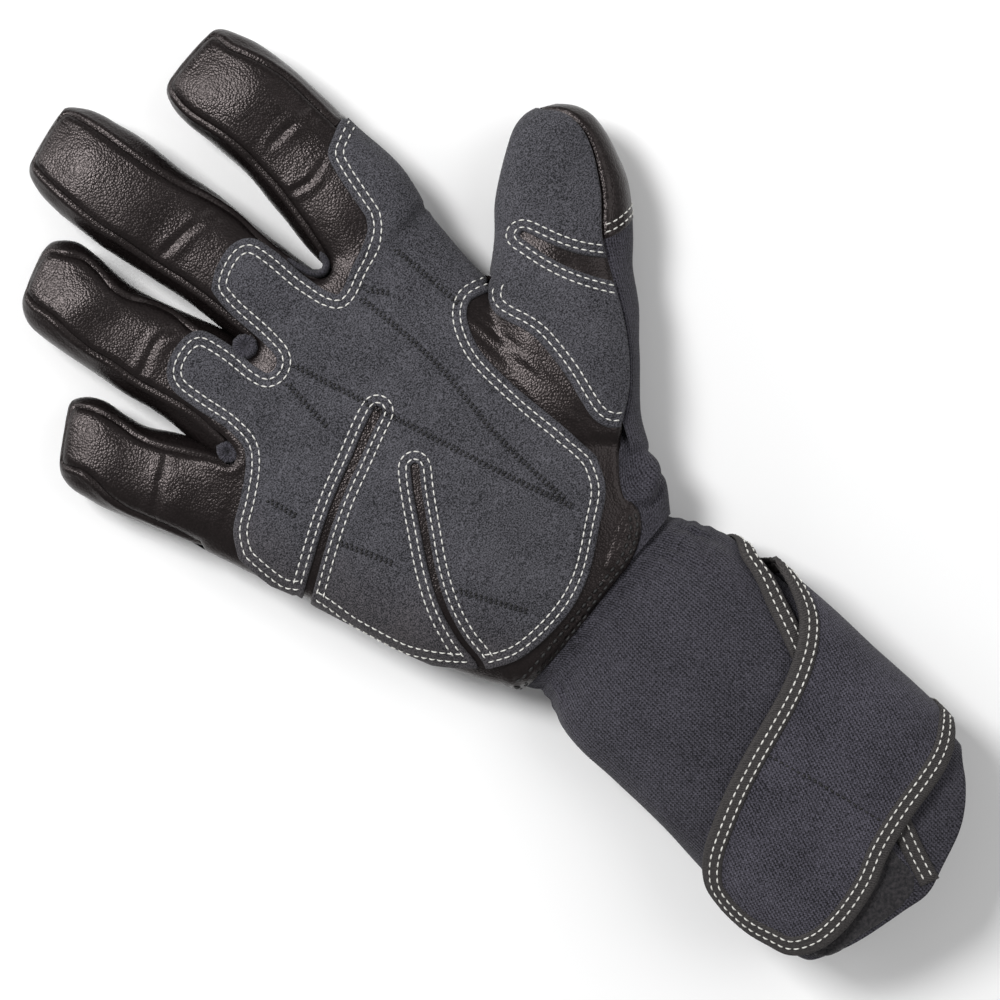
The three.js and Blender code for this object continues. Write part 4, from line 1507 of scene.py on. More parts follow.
@dataclass
class ThumbParts:
    """The thumb: its leather front, knitted back and leather tip cap, and the knit beside the heel."""

    body: Body
    finishes: Finishes
    cap_row: float = 74.0
    cap_thick: float = 0.7
    cap_bend: float = 5.5
    cap_bend_share: float = 0.14
    cap_rows_at: tuple[float, float] = (1.6, 3.7)
    cap_rows_share: float = 0.55
    knit_from: float = 1.0
    knit_under_cap: float = 2
    knit_sink: float = 4.5
    knit_off_floor: float = 0.5

    KNIT_GRID, CAP_GRID, CAP_END = (90, 90), (60, 90), -1.12 * math.pi
    KNIT_SINKS, KNIT_LIFTS, EDGE_FADES = (0, 9), (10, 20), (0, 4)
    FRONT_LUMPS = Lumps(0.3, 7, 21)
    KNIT_LUMPS = Lumps(0.5, 9, 31)
    CAP_LUMPS = Lumps(0.3, 9, 33)
    HEEL_LUMPS = Lumps(0.5, (5, 9, 9), 35)
    LEATHER_EDGE = Ridge(-0.5, 0.5)
    KNIT_EDGE = Ridge(-0.5, 0.6)
    CAP_DIPS = (Ridge(-0.3, 0.5, 1.6), Ridge(-0.3, 0.5, 3.8))
    # The fold in the knit where the thumb's heel hangs over the wrist, and the bulge above it.
    FOLD = [(28.6, -24), (27, -28), (24.9, -31), (21.5, -34), (17.4, -34.6), (13.8, -31)]
    FOLD_GROOVE = Ridge(-1.3, 0.8)
    FOLD_BANK = Ridge(1.1, 2.2, 2.6)
    FOLD_LOW, FOLD_OFF, BELOW_FOLD = 9, 20, -0.2
    BULGE = Ridge(2.2, 6, -29)
    HEEL_LONG, HEEL_ROWS, HEEL_COLUMNS, HEEL_OVERLAP = 34, 42, 56, 0.05

    def seam(self) -> tuple[Array, Array]:
        """Gives the seam of the thumb's front.

        Returns:
            Distances along the thumb, and the seam's place across it at each.
        """
        way, across, _ = self.body.thumb.locate(curve(THUMB_SEAM, SEAM_STEP))
        order = np.argsort(way)
        return way[order], across[order]

    def outline(self) -> Array:
        """Draws the outline of the thumb's front, anticlockwise from the heel."""
        seam, gusset = curve(THUMB_SEAM, EDGE_STEP), curve(GUSSET_SEAM, EDGE_STEP)
        return np.vstack([seam[::-1], thumb_left(self.body)[::-1], gusset])

    def front(self) -> None:
        """Makes the leather under the thumb's patch."""

        def relief(points: Array, rim: Array) -> Array:
            """Dips at the seam, with small lumps."""
            return self.FRONT_LUMPS.at(points) * step_up(rim, 0, 3) + self.LEATHER_EDGE.at(rim)

        sheet = sheet_over("thumb_front_leather", Region(self.outline()), self.body.front, relief, 1.0)
        sheet.put(self.finishes.leather, Slot.LEATHER, ("thumb_front",))

    def round_back(
        self, name: str, first: Callable, last: Callable, rows: int, columns: int, end: float = -math.pi
    ) -> tuple[Piece, Array, Array]:
        """Lays a grid round the thumb's back between two ends that change with the place round it.

        Args:
            name: The piece's name.
            first: Gives the distance along the thumb of the first row from the share of the way round.
            last: The same for the last row.
            rows: The number of rows.
            columns: The number of points in a row.
            end: The angle at which every row ends.

        Returns:
            The piece, and each point's distance along the thumb and share of the way round.
        """
        thumb = self.body.thumb
        k = np.linspace(0, 1, columns)
        way = first(k) + (last(k) - first(k)) * np.linspace(0, 1, rows)[:, None]
        seam_way, seam_across = self.seam()
        start = angle_at(np.interp(way[:, 0], seam_way, seam_across), thumb.power)
        past = step_up(way[:, 0], seam_way[-1], thumb.way[-1])
        over_tip = angle_at(np.zeros(rows) + seam_across[-1] * (1 - past), thumb.power)
        start = np.where(way[:, 0] > seam_way[-1], over_tip, start)
        grid = thumb.strip(way, start, np.full(rows, end), columns)
        piece = Piece(name, grid.reshape(-1, 3), grid_faces(rows, columns), unrolled(grid, way.ravel()))
        return piece, way.ravel(), np.tile(k, rows)

    def cap_start(self, share: Array) -> Array:
        """Gives the distance along the thumb at which the cap starts: lower beside the seam of the front."""
        return self.cap_row - self.cap_bend * bell(share, self.cap_bend_share)

    def back(self) -> None:
        """Makes the knitted back and the leather cap over its far end."""
        tip = self.body.thumb.way[-1]
        seam = self.body.front(curve(THUMB_SEAM, SEAM_STEP))
        knit, way, _ = self.round_back(
            "thumb_back_knit",
            lambda k: 0 * k + self.knit_from,
            lambda k: self.cap_start(k) + self.knit_under_cap,
            *self.KNIT_GRID,
        )
        rim = reach_to(knit.points, seam)
        sunk = self.knit_sink * (1 - step_up(way, *self.KNIT_SINKS))
        lumps = self.KNIT_LUMPS.at(knit.points) * step_up(rim, *self.EDGE_FADES)
        knit.swell(lumps + self.KNIT_EDGE.at(rim) - sunk)
        knit.raise_to(self.knit_off_floor * (1 - step_up(way, *self.KNIT_LIFTS)))
        knit.put(self.finishes.knit, Slot.KNIT, ("thumb_back",))
        cap, way, share = self.round_back(
            "thumb_cap_leather", self.cap_start, lambda k: 0 * k + tip, *self.CAP_GRID, self.CAP_END
        )
        rim = reach_to(cap.points, seam)
        edge = way - self.cap_start(share)
        lift = self.cap_thick * step_up(edge, 0, 0.5)
        for dip in self.CAP_DIPS:
            lift += dip.at(edge)
        lumps = self.CAP_LUMPS.at(cap.points) * step_up(rim, 1, 4)
        cap.swell(lift * step_up(rim, 0, 1.5) + lumps + self.LEATHER_EDGE.at(rim))
        cap.raise_to().put(self.finishes.leather, Slot.LEATHER, ("thumb_tip_cap",))

    def cap_rows(self) -> None:
        """Sews the cap's two white rows, in a plane of the length round the thumb and the distance along it."""
        thumb = self.body.thumb
        seam_way, seam_across = self.seam()
        start = angle_at(np.interp([self.cap_row], seam_way, seam_across), thumb.power)[0]
        angle = np.linspace(start, -math.pi, 400)
        length = lengths_along(thumb.ring(np.full(len(angle), self.cap_row), angle))

        def surface(plane: Array) -> Array:
            """Turns points of the plane into points in space."""
            return thumb.ring(plane[:, 1], np.interp(plane[:, 0], length, angle))

        by = np.linspace(0.4, self.cap_rows_share * length[-1], 90)
        rows = [np.column_stack([by, self.cap_start(by / length[-1]) + gap]) for gap in self.cap_rows_at]
        Sewing.CAP_WHITE.put("cap_white_rows", rows, surface, self.finishes)

    def heel(self) -> None:
        """Makes the knit that goes round the heel beside the thumb: a grid round the hand's edge."""
        hand = self.body.hand
        seam_way, seam_across, _ = hand.locate(curve(HEEL_SEAM, SEAM_STEP)[::-1])
        under_way, under_across, _ = hand.locate(curve(THUMB_BACK_SEAM, SEAM_STEP)[::-1])
        way = np.linspace(0, self.HEEL_LONG, self.HEEL_ROWS)
        start = angle_at(np.interp(way, seam_way, seam_across), hand.power) + self.HEEL_OVERLAP
        end = -angle_at(np.interp(way, under_way, under_across), hand.power)
        grid = hand.strip(way, start, end, self.HEEL_COLUMNS)
        points = grid.reshape(-1, 3)
        x, y, z = points.T
        faces = grid_faces(self.HEEL_ROWS, self.HEEL_COLUMNS)
        piece = Piece("thumb_heel_knit", points, faces, unrolled(grid, y))
        rim = reach_to(points, grid[:, 0])
        fold = curve(self.FOLD)
        away = reach_to(points[:, :2], fold) + self.FOLD_OFF * (z < self.FOLD_LOW)
        above = y > np.interp(x, fold[::-1, 0], fold[::-1, 1])
        crease = np.where(above, self.FOLD_BANK.at(away), self.BELOW_FOLD) + self.FOLD_GROOVE.at(away)
        bulge = self.BULGE.at(y) * step_up(rim, 4, 12)
        soft = (self.HEEL_LUMPS.at(points) + crease) * step_up(rim, *self.EDGE_FADES)
        piece.swell(bulge + soft + self.KNIT_EDGE.at(rim))
        piece.raise_to().put(self.finishes.knit, Slot.KNIT, ("thumb_back",))

    def build(self) -> None:
        """Makes every piece of the thumb."""
        self.front()
        self.back()
        self.cap_rows()
        self.heel()


@dataclass
class BackParts:
    """The knitted back of the hand and the webs between the fingers."""

    body: Body
    finishes: Finishes
    thick: float = 0.4
    band_wide: float = 3.2
    band_middle: float = 13.2
    band_half_high: float = 10
    knob_folds: int = 11
    band_around: int = 40
    knob_around: int = 72

    EDGE_TURN = Ridge(-0.75, 0.6)
    WEB_LUMPS = Lumps(0.2, 1.5, 41)
    # The knob's outline: shares of its radius, each with the height there.
    KNOB = [(0.01, 2), (0.75, 2.4), (0.97, 5), (1, 20.6), (0.95, 23), (0.7, 24.4), (0.35, 23.9), (0.01, 23.1)]
    FOLD_HIGH = Ridge(0.22, 0.3, 0.65)
    FOLD_WIDE, FOLD_WIND = 0.025, 5
    # The distance between two rings of a web, and the lengths of weave round a band and a knob, by the angle.
    RING_STEP, BAND_WEAVE, KNOB_WEAVE = 0.4, 8, 4
    # A band's powers along it, and the least share of its size at its ends.
    END_POWER, END_LEAST, OVAL_POWER, HIGH_POWER = 5, 0.0004, 0.8, 0.4

    def panel(self) -> None:
        """Makes the back panel: a sheet on the glove's underside."""
        hand = self.body.hand
        line = [
            curve(THUMB_BACK_SEAM, EDGE_STEP)[::-1],
            hand.edge(1, 46, 70),
            FINGERS[0].tube.edge(1, 73, 86),
            curve(KNUCKLE_SEAM, EDGE_STEP)[::-1],
            hand.edge(-1, 57, -41),
        ]

        def relief(points: Array, rim: Array) -> Array:
            """Turns in at the edge."""
            return self.thick + self.EDGE_TURN.at(rim)

        sheet = sheet_over("back_knit", Region(np.vstack(line)), self.body.back, relief, 1.3, -1)
        sheet.raise_to().put(self.finishes.knit, Slot.KNIT, ("back_panel",))

    def weave(self, around: Array, rings: int) -> Array:
        """Gives the weave's coordinates on a web: its lengths round it, and the ring's place along."""
        return np.stack(np.broadcast_arrays(around, np.arange(rings)[:, None] * self.RING_STEP), -1)

    def put_web(self, name: str, grid: Array, weave: Array) -> None:
        """Makes a closed web from a grid of points, with small wrinkles.

        Args:
            name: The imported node's name.
            grid: Its rings of points.
            weave: The weave's coordinates at each point.
        """
        rings, columns = grid.shape[:2]
        points = grid.reshape(-1, 3)
        faces = grid_faces(rings, columns, True)
        piece = Piece(name.replace("web", "crotch_knit"), points, faces, weave.reshape(-1, 2))
        piece.swell(self.WEB_LUMPS.at(points))
        piece.put(self.finishes.knit, Slot.KNIT, (name,))

    def band(self, name: str, line: Points) -> None:
        """Makes one web: a tall oval carried along the bend between two fingers, drawn in at its ends.

        Args:
            name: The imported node's name.
            line: The bend's middle, in plan.
        """
        middle = even(curve(line), self.RING_STEP)
        side = aside(middle, 1.0) - middle
        turn = np.linspace(0, 2 * math.pi, self.band_around, endpoint=False)
        k = np.linspace(-1, 1, len(middle))
        size = np.maximum(1 - np.abs(k) ** self.END_POWER, self.END_LEAST)[:, None] ** 0.5
        flat = middle[:, None] + (self.band_wide / 2 * size * np.cos(turn))[..., None] * side[:, None]
        oval = np.sign(np.sin(turn)) * np.abs(np.sin(turn)) ** self.OVAL_POWER
        up = self.band_middle + self.band_half_high * size**self.HIGH_POWER * oval
        self.put_web(name, np.concatenate([flat, up[..., None]], -1), self.weave(turn * self.BAND_WEAVE, len(middle)))

    def knob(self, name: str, middle: tuple[float, float], radii: tuple[float, float]) -> None:
        """Makes one web that is drawn up into a knob: a turned form with soft folds that wind round its middle.

        Args:
            name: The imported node's name.
            middle: The knob's middle, in plan.
            radii: Its radius along x and along y.
        """
        turn = np.linspace(0, 2 * math.pi, self.knob_around, endpoint=False)
        profile = curve(self.KNOB, 0.3)
        share = profile[:, :1]
        wind = np.cos(self.knob_folds * turn + self.FOLD_WIND * share)
        wide = share * (1 + self.FOLD_WIDE * wind * np.minimum(1, 2 * share))
        x = middle[0] + radii[0] * wide * np.cos(turn)
        y = middle[1] + radii[1] * wide * np.sin(turn)
        z = profile[:, 1:] + wind * self.FOLD_HIGH.at(share)
        self.put_web(name, np.stack([x, y, z], -1), self.weave(turn * self.KNOB_WEAVE, len(profile)))

    def build(self) -> None:
        """Makes the back panel and the three webs."""
        self.panel()
        self.knob("web_ring_little", (-51.4, 67.4), (3.1, 3.8))
        self.knob("web_middle_ring", (-25, 83.8), (3.8, 3.8))
        self.band("web_index_middle", [(1.9, 93), (2.5, 87.5), (3.6, 83.1), (6, 80.9), (8.5, 81.6), (10.3, 86.5)])


@dataclass
class SuedeParts:
    """The suede patches with their white rows and the palm's black quilting."""

    body: Body
    finishes: Finishes
    thick: float = 1.2
    row_to_edge: float = 2.1
    row_gap: float = 2.1
    row_dip: float = 0.28
    row_wide: float = 0.5
    slot_gap: float = 1.4
    side_gap: float = 0.6
    spacing: float = 0.8
    zigzag: float = 0.45
    edge_start: float = 0.25
    edge_slope: float = 3.4
    edge_tuck: float = 1.6

    CLOUDS = (Lumps(0.16, 11, 51), Lumps(0.05, 2.2, 52))
    QUILT_DIP = Ridge(-0.32, 0.8)
    # Only below this y is a patch kept inside the hand's left edge, and only below this one is the thumb's sewn.
    HAND_TOP, THUMB_ROWS_TOP = 50, 40
    SLACK = 0.15

    def surface(self, flat: Array) -> Array:
        """Gives the top of a patch: the glove's upper surface raised by the patch's thickness.

        Args:
            flat: Points of the plan.

        Returns:
            The points in space.
        """
        points = self.body.front(flat)
        step = 0.5
        slope_x = self.body.height(flat + [step, 0]) - self.body.height(flat - [step, 0])
        slope_y = self.body.height(flat + [0, step]) - self.body.height(flat - [0, step])
        normal = np.column_stack([-slope_x, -slope_y, np.full(len(flat), 2 * step)])
        return points + normal / np.linalg.norm(normal, axis=1, keepdims=True) * (self.thick + 0.02)

    def relief(self, points: Array, rim: Array) -> Array:
        """Gives a patch's height: a rounded edge, a dip along each row of sewing, and slight unevenness.

        Args:
            points: Points in space.
            rim: Their distances from the patch's edge.

        Returns:
            The heights.
        """
        edge = self.thick * np.minimum(1, self.edge_start + self.edge_slope * rim) - self.edge_tuck * (rim < RIM)
        first, second = self.row_to_edge, self.row_gap
        rows = bell(rim - first, self.row_wide) + bell(rim - first - second, self.row_wide)
        return edge - self.row_dip * rows + lumpy(self.CLOUDS, points) * step_up(rim, 1, 4)

    def slot(self, line: Points) -> Array:
        """Draws a slot's outline from its middle line and widths."""
        dense = curve(line, 1.0)
        return ribbon(dense[:, :2], dense[:, 2])

    def palm_row(self) -> Array:
        """Draws the palm patch's outer row of sewing, kept just inside the hand's edge, from the index to the thumb.

        Returns:
            The row's points.
        """
        hand = self.body.hand
        row = even(np.vstack([curve(line, 0.6) for line in PALM_ROWS]), 0.6)
        way, across, _ = hand.locate(row)
        limit = hand.row(way)
        half = np.linalg.norm(limit[:, 2:4] - limit[:, :2], axis=1) / 2
        place = np.maximum(across, -1 + self.side_gap / half)[:, None]
        kept_in = limit[:, :2] + (limit[:, 2:4] - limit[:, :2]) * (place + 1) / 2
        over = (place[:, 0] > across + 1e-4)[:, None] & (row[:, 1:] < self.HAND_TOP)
        return np.where(over, kept_in, row)

    def palm_region(self) -> Region:
        """Works out the palm patch's area: its outer row grown to the cut edge, and the hand's own edge.

        Returns:
            The area.
        """
        hand, index = self.body.hand, FINGERS[0].tube
        row = self.palm_row()
        edge = aside(row, -self.row_to_edge)
        edge = edge[reach_to(edge, row) > self.row_to_edge - self.SLACK]
        way, across, _ = hand.locate(edge)
        over = (across < -1) & (edge[:, 1] < self.HAND_TOP)
        edge = np.where(over[:, None], hand.row(way)[:, :2], edge)
        loop = np.vstack([edge, hand.edge(1, 43, 70), index.edge(1, 73, 105.5)])
        return Region(thinned(loop, self.SLACK), [self.slot(line) for line in PALM_SLOTS])

    def thumb_region(self) -> Region:
        """Works out the thumb patch's area, from its row beside the gusset to the thumb's far edge and seam.

        Returns:
            The area.
        """
        seam = aside(curve(THUMB_SEAM, EDGE_STEP), -0.5)
        loop = np.vstack([curve(THUMB_PATCH, EDGE_STEP), seam[::-1], thumb_left(self.body)[:-1][::-1]])
        return Region(loop, [self.slot(THUMB_SLOT)])

    def palm(self) -> None:
        """Makes the palm patch, its quilting and its white rows."""
        region = self.palm_region()
        quilt = [curve(line, 1.0) for line in QUILT_ROWS]

        def relief(points: Array, rim: Array) -> Array:
            """Adds the dips along the quilting.

            Args:
                points: Points in space.
                rim: Their distances from the patch's edge.

            Returns:
                The heights.
            """
            total = self.relief(points, rim)
            for line in quilt:
                total += self.QUILT_DIP.at(reach_to(points[:, :2], line))
            return total

        sheet = sheet_over("palm_suede", region, self.body.front, relief, self.spacing)
        sheet.put(self.finishes.suede, Slot.SUEDE, ("palm_patch",))
        first = self.palm_row()
        second = aside(first, self.row_gap)
        apart = reach_to(second, first) > self.row_gap - self.SLACK
        free = []
        for line in [first, *kept(second, region.contains(second) & apart, 8)]:
            clear = np.min([reach_to(line, slot, True) for slot in region.slots], axis=0) > self.slot_gap - 0.2
            free += kept(line, clear, 6)
        for slot in region.slots:
            for gap in (self.slot_gap, self.slot_gap + self.row_gap):
                line = aside(even(np.vstack([slot, slot[:1]]), 0.5), -gap)
                inside = region.contains(line) & (reach_to(line, first) > 0.8) & (region.from_rim(line) > 0.7)
                free += kept(line, inside & (reach_to(line, slot, True) > gap - self.SLACK), 8)
        Sewing.PATCH_WHITE.put("palm_white_rows", free, self.surface, self.finishes)
        sides = ((-self.zigzag, 0), (self.zigzag, 1))
        dots = [aside(line, side)[shift:] for line in quilt for side, shift in sides]
        Sewing.QUILTING.put("palm_quilting", dots, self.surface, self.finishes)

    def thumb(self) -> None:
        """Makes the thumb patch with the rows beside the gusset and round its slot."""
        region = self.thumb_region()
        sheet = sheet_over("thumb_suede", region, self.body.front, self.relief, self.spacing)
        sheet.put(self.finishes.suede, Slot.SUEDE, ("thumb_patch",))
        beside = curve(THUMB_PATCH, EDGE_STEP)
        slot = region.slots[0]
        rows = []
        for gap in (0, self.row_gap):
            line = aside(beside, self.row_to_edge + gap)
            rows += kept(line, region.contains(line) & (line[:, 1] < self.THUMB_ROWS_TOP), 6)
            line = aside(even(slot, 0.5), -self.slot_gap - gap)
            inside = region.contains(line) & (reach_to(line, slot) > self.slot_gap + gap - self.SLACK)
            rows += kept(line, inside, 6)
        Sewing.PATCH_WHITE.put("thumb_white_rows", rows, self.surface, self.finishes)

    def build(self) -> None:
        """Makes both patches."""
        self.palm()
        self.thumb()


@dataclass
class Skin:
    """A level tube's skin, unrolled into a plane.

    The first number is the length round one of the tube's rows, from its left side over the top. The second is y.
    """

    tube: Tube
    measured_at: float = -120.0
    count: int = 3000
    angle: Array = field(init=False)
    length: Array = field(init=False)

    def __post_init__(self) -> None:
        """Measures the row."""
        self.angle = np.linspace(math.pi, -math.pi, self.count)
        way = self.tube.at_y(np.full(self.count, self.measured_at))
        self.length = lengths_along(self.tube.ring(way, self.angle))

    def at(self, angle: float | Array) -> Array:
        """Gives the length at an angle."""
        return np.interp(-np.asarray(angle, float), -self.angle, self.length)

    def plane(self, flat: Array, side: int = 1) -> Array:
        """Turns points of the plan, on the top or (side -1) on the underside, into points of the plane."""
        _, across, _ = self.tube.locate(flat)
        return np.column_stack([self.at(side * angle_at(across, self.tube.power)), flat[:, 1]])

    def space(self, plane: Array) -> Array:
        """Turns points of the plane into points in space, also past once round."""
        angle = np.interp(plane[:, 0] % self.length[-1], self.length, self.angle)
        return self.tube.ring(self.tube.at_y(plane[:, 1]), angle)


@dataclass
class Cuff:
    """The knitted cuff, the palm's hem over it, its bound wrap edge, its pile panel and the bound strap."""

    body: Body
    finishes: Finishes
    wall: float = 1.8
    columns: int = 260
    rows: int = 150
    hem_thick: float = 0.85
    hem_blend: float = 4.5
    hem_tuck: float = 1.2
    hem_row_dip: float = 0.3
    tape_thick: float = 1.3
    tape_wide: float = 6.5
    tape_wall: float = 2.2
    pile_thick: float = 1.3
    strap_rise: float = 3.4
    strap_sink: float = 0.5
    tape_sink: float = 0.9
    white_rows_at: tuple[float, float] = (2.8, 5.2)
    wrap_row_off: float = 1.3

    # The gathers of the elastic at the wrist, its bands, and the looser folds that run down from it.
    WRIST = Ridge(1, 5.5, -48.5)
    DRAWN = Ridge(1, 15, -60)
    PUCKERS = Lumps(1, (2.4, 5, 9), 61)
    LONG_FOLDS = Lumps(1, (5, 26, 9), 64)
    LOOSE_FOLDS = (Lumps(1, (17, 30, 17), 62), Lumps(0.5, (8, 16, 8), 63))
    PUCKER_HIGH, BAND_HIGH, LOOSE_HIGH, DRAWN_HIGH = 1.1, 0.35, 0.85, 0.7
    BAND_FROM, BAND_PITCH, FOLDS_FADE = 46, 4.2, (42, 56)
    HEM_PUCKERS = Lumps(0.3, (2.0, 6, 6), 71)
    HEM_ROWS_AT, HEM_ROW_WIDE = (1.5, 3.3), 0.5
    TUFTS = (Lumps(0.4, 1.5, 81), Lumps(0.25, 0.9, 82))
    STRAP_LUMPS = Lumps(0.35, 16, 91)
    TAPE_DIPS = (Ridge(-0.25, 0.4, 1.3), Ridge(-0.25, 0.4, 2.5))

    # The hem's outline, wrist side first; the cuff's end; the wrap's edge; the pile's outline; the strap's.
    HEM = [
        [
            (-50.5, -33), (-48.4, -41.6), (-44, -42.6), (-10, -41.9), (2.1, -40.9), (10.4, -37.2), (13.9, -32.8),
            (14.4, -27.6),
        ],
        [
            (14.4, -27.6), (10, -28.6), (2, -31.6), (-10, -36.4), (-22, -38), (-34, -37.2), (-46, -33.6), (-50.5, -33),
        ],
    ]
    END = [
        (-60, -149), (-54.3, -152), (-52.6, -155.4), (-45.8, -158.6), (-36, -162), (-22.8, -165.2), (-14.5, -167),
        (-5.5, -165.3), (5.3, -162.5), (10.6, -159.6), (16, -154.9), (20, -150), (25, -146),
    ]
    WRAP = [
        (25.6, -61.5), (24.2, -67.5), (22.2, -74), (19.5, -80), (16.8, -86.5), (13, -95), (6, -113), (-1.6, -140),
        (-8.4, -156), (-12.2, -165.6),
    ]
    LOOP = [(-52, -128), (-51, -153), (-47, -158), (-38, -160.6), (-15.4, -163), (-11.6, -150), (-8, -128)]
    STRAP_TOP = [
        (29.6, -72), (27.8, -76), (25.4, -81), (21.4, -87), (15, -91.6), (7, -95), (0, -97), (-10, -99),
        (-20, -101), (-30, -103.5), (-40, -107), (-47, -110), (-52, -113.5), (-55.5, -118), (-57.2, -124),
        (-57.9, -131), (-57.7, -137), (-56.5, -143), (-55, -148.5), (-52, -152), (-46, -155), (-38, -156),
        (-30, -155.5), (-22, -154), (-15, -151.5), (-8, -150), (0, -149), (8, -148.5), (15, -147.8), (19.5, -146.8),
        (23, -145.3), (26.5, -143), (29.4, -140.4),
    ]
    STRAP_UNDER = [
        (29, -139.8), (24, -136.5), (14, -134), (-14, -133), (-14, -62), (14, -63), (24, -66), (29, -71),
    ]
    STRAP_BLACK_ROWS = ([(-15, -106), (-9.5, -133)], [(-12, -118), (-8, -143)])

    def __post_init__(self) -> None:
        """Makes the cuff's skin, and a flatter, larger one for the strap."""
        self.tube = Tube(SLEEVE_ROWS, power=2.5, fade=0.0)
        rise = self.strap_rise
        rows = [
            (lx - 6, ly, rx + rise + 0.4, ry, max(low - rise, 0.8), high + rise)
            for lx, ly, rx, ry, low, high in SLEEVE_ROWS
        ]
        self.skin = Skin(self.tube)
        self.band = Skin(Tube(rows, power=2.7, fade=0.0))

    def joined(self, flat: Array) -> Array:
        """Lifts points of the plan onto the higher of hand and cuff."""
        return np.column_stack([flat, np.maximum(self.tube.face(flat), self.body.height(flat))])

    def sleeve(self) -> None:
        """Makes the cuff: a grid round its tube, gathered by the elastic at the wrist and with soft folds."""
        columns, rows = self.columns, self.rows
        end = curve(self.END)
        once = self.skin.length[-1]
        around = self.skin.at(-math.pi / 2) + np.linspace(0, once, columns, endpoint=False)
        late = self.skin.space(np.column_stack([around, np.full(columns, -155.0)]))
        last = np.interp(late[:, 0], end[:, 0], end[:, 1])
        first = SLEEVE_ROWS[0][1]
        y = first + (last - first) * np.linspace(0, 1, rows)[:, None]
        flat = np.column_stack([np.tile(around, rows), y.ravel()])
        points = self.skin.space(flat)
        piece = Piece("cuff_knit", points, grid_faces(rows, columns, True)[:, ::-1], flat)
        y = points[:, 1]
        level = np.column_stack([flat, 0 * y])
        bands = np.cos((y + self.BAND_FROM) * 2 * math.pi / self.BAND_PITCH)
        gathers = self.WRIST.at(y) * (self.PUCKER_HIGH * self.PUCKERS.at(level) - self.BAND_HIGH * bands)
        drawn = self.LONG_FOLDS.at(level) * self.DRAWN.at(y)
        loose = self.LOOSE_HIGH * lumpy(self.LOOSE_FOLDS, points) + self.DRAWN_HIGH * drawn
        total = gathers + loose * step_up(-y, *self.FOLDS_FADE)
        piece.swell(total * step_up(points[:, 2], 0.5, 6))
        piece.raise_to().put(self.finishes.knit, Slot.KNIT, ("gauntlet",), self.wall)

    def hem(self) -> None:
        """Makes the palm's folded hem with its two rows of black sewing."""

        def relief(points: Array, rim: Array) -> Array:
            """Rounds the fold, puckers it between its rows, and blends it into the palm.

            Args:
                points: Points in space.
                rim: Their distances from the hem's edge.

            Returns:
                The heights.
            """
            first, second = self.HEM_ROWS_AT
            sewn = bell(rim - first, self.HEM_ROW_WIDE) + bell(rim - second, self.HEM_ROW_WIDE)
            blend = step_up(reach_to(points[:, :2], curve(self.HEM[1])), 0, self.hem_blend)
            fold = self.hem_thick * np.minimum(1, 0.1 + 0.9 * rim) - self.hem_row_dip * sewn
            fold = fold + self.HEM_PUCKERS.at(points) * step_up(rim, 0, 2)
            return fold * blend - self.hem_tuck * (rim < RIM) * (blend > 0.5)

        region = Region(np.vstack([curve(line, EDGE_STEP) for line in self.HEM]))
        sheet = sheet_over("wrist_hem", region, self.joined, relief, 0.8)
        sheet.put(self.finishes.leather, Slot.LEATHER, ("palm_hem",))
        first = curve(self.HEM[0], 0.8)[8:-7]
        rows = [aside(first, away) for away in self.HEM_ROWS_AT]
        Sewing.HEM_BLACK.put("hem_rows", rows, self.joined, self.finishes)

    def tape_relief(self, rim: Array, base: float) -> Array:
        """Gives a folded tape's height: round at its edges, with a dip along each of its two rows.

        Args:
            rim: Distances from the tape's edge.
            base: The height of its underside.

        Returns:
            The heights.
        """
        height = base + self.tape_thick * np.minimum(1, rim / 0.8) ** 0.5
        for dip in self.TAPE_DIPS:
            height = height + dip.at(rim)
        return height

    def wrap(self) -> None:
        """Makes the bound edge of the cuff's wrap, a tape from the thumb side down the cuff, and its white rows."""
        line = self.skin.plane(curve(self.WRAP, 0.8))
        start = np.array([[self.skin.at(0) + 20, -55.5], [self.skin.at(0) + 12, -59.0]])
        line = curve(np.vstack([start, line[5:-4:6], line[-1:]]), 0.8)
        region = Region(np.vstack([aside(line, -self.tape_wide / 2), aside(line, self.tape_wide / 2)[::-1]]))

        def relief(points: Array, rim: Array) -> Array:
            """The tape's own relief."""
            return self.tape_relief(rim, 0.3)

        sheet = sheet_over("wrap_tape", region, self.skin.space, relief, 0.7)
        sheet.raise_to().put(self.finishes.tape, Slot.BINDING, ("wrap_binding",))
        rows = [aside(line, side * self.wrap_row_off)[3:-2] for side in (-1, 1)]
        Sewing.WRAP_WHITE.put("wrap_white_rows", rows, self.skin.space, self.finishes)

    def pile(self) -> None:
        """Makes the panel of pile."""
        region = Region(self.skin.plane(curve([*self.LOOP, self.LOOP[0]], EDGE_STEP)[:-1]))

        def relief(points: Array, rim: Array) -> Array:
            """A thick pile with tufts."""
            return self.pile_thick * np.minimum(1, 0.1 + rim) + lumpy(self.TUFTS, points)

        sheet = sheet_over("loop_pile", region, self.skin.space, relief, 0.6)
        sheet.put(self.finishes.pile, Slot.LOOP, ("loop_panel",))

    def strap(self) -> None:
        """Makes the strap, its folded binding and its rows of sewing."""
        under = self.STRAP_UNDER
        parts = [self.band.plane(curve(self.STRAP_TOP, 0.8))]
        parts += [self.band.plane(even(np.array(under[i : i + 2], float), 1.5), -1) for i in range(len(under) - 1)]
        outline = thinned(np.vstack(parts), 0.15)
        whole = Region(outline)
        wide = self.tape_wide

        def cloth(points: Array, rim: Array) -> Array:
            """Lies flat, a little lower than the tape and slightly uneven."""
            return self.STRAP_LUMPS.at(points) * step_up(rim, 0, 8) - self.strap_sink

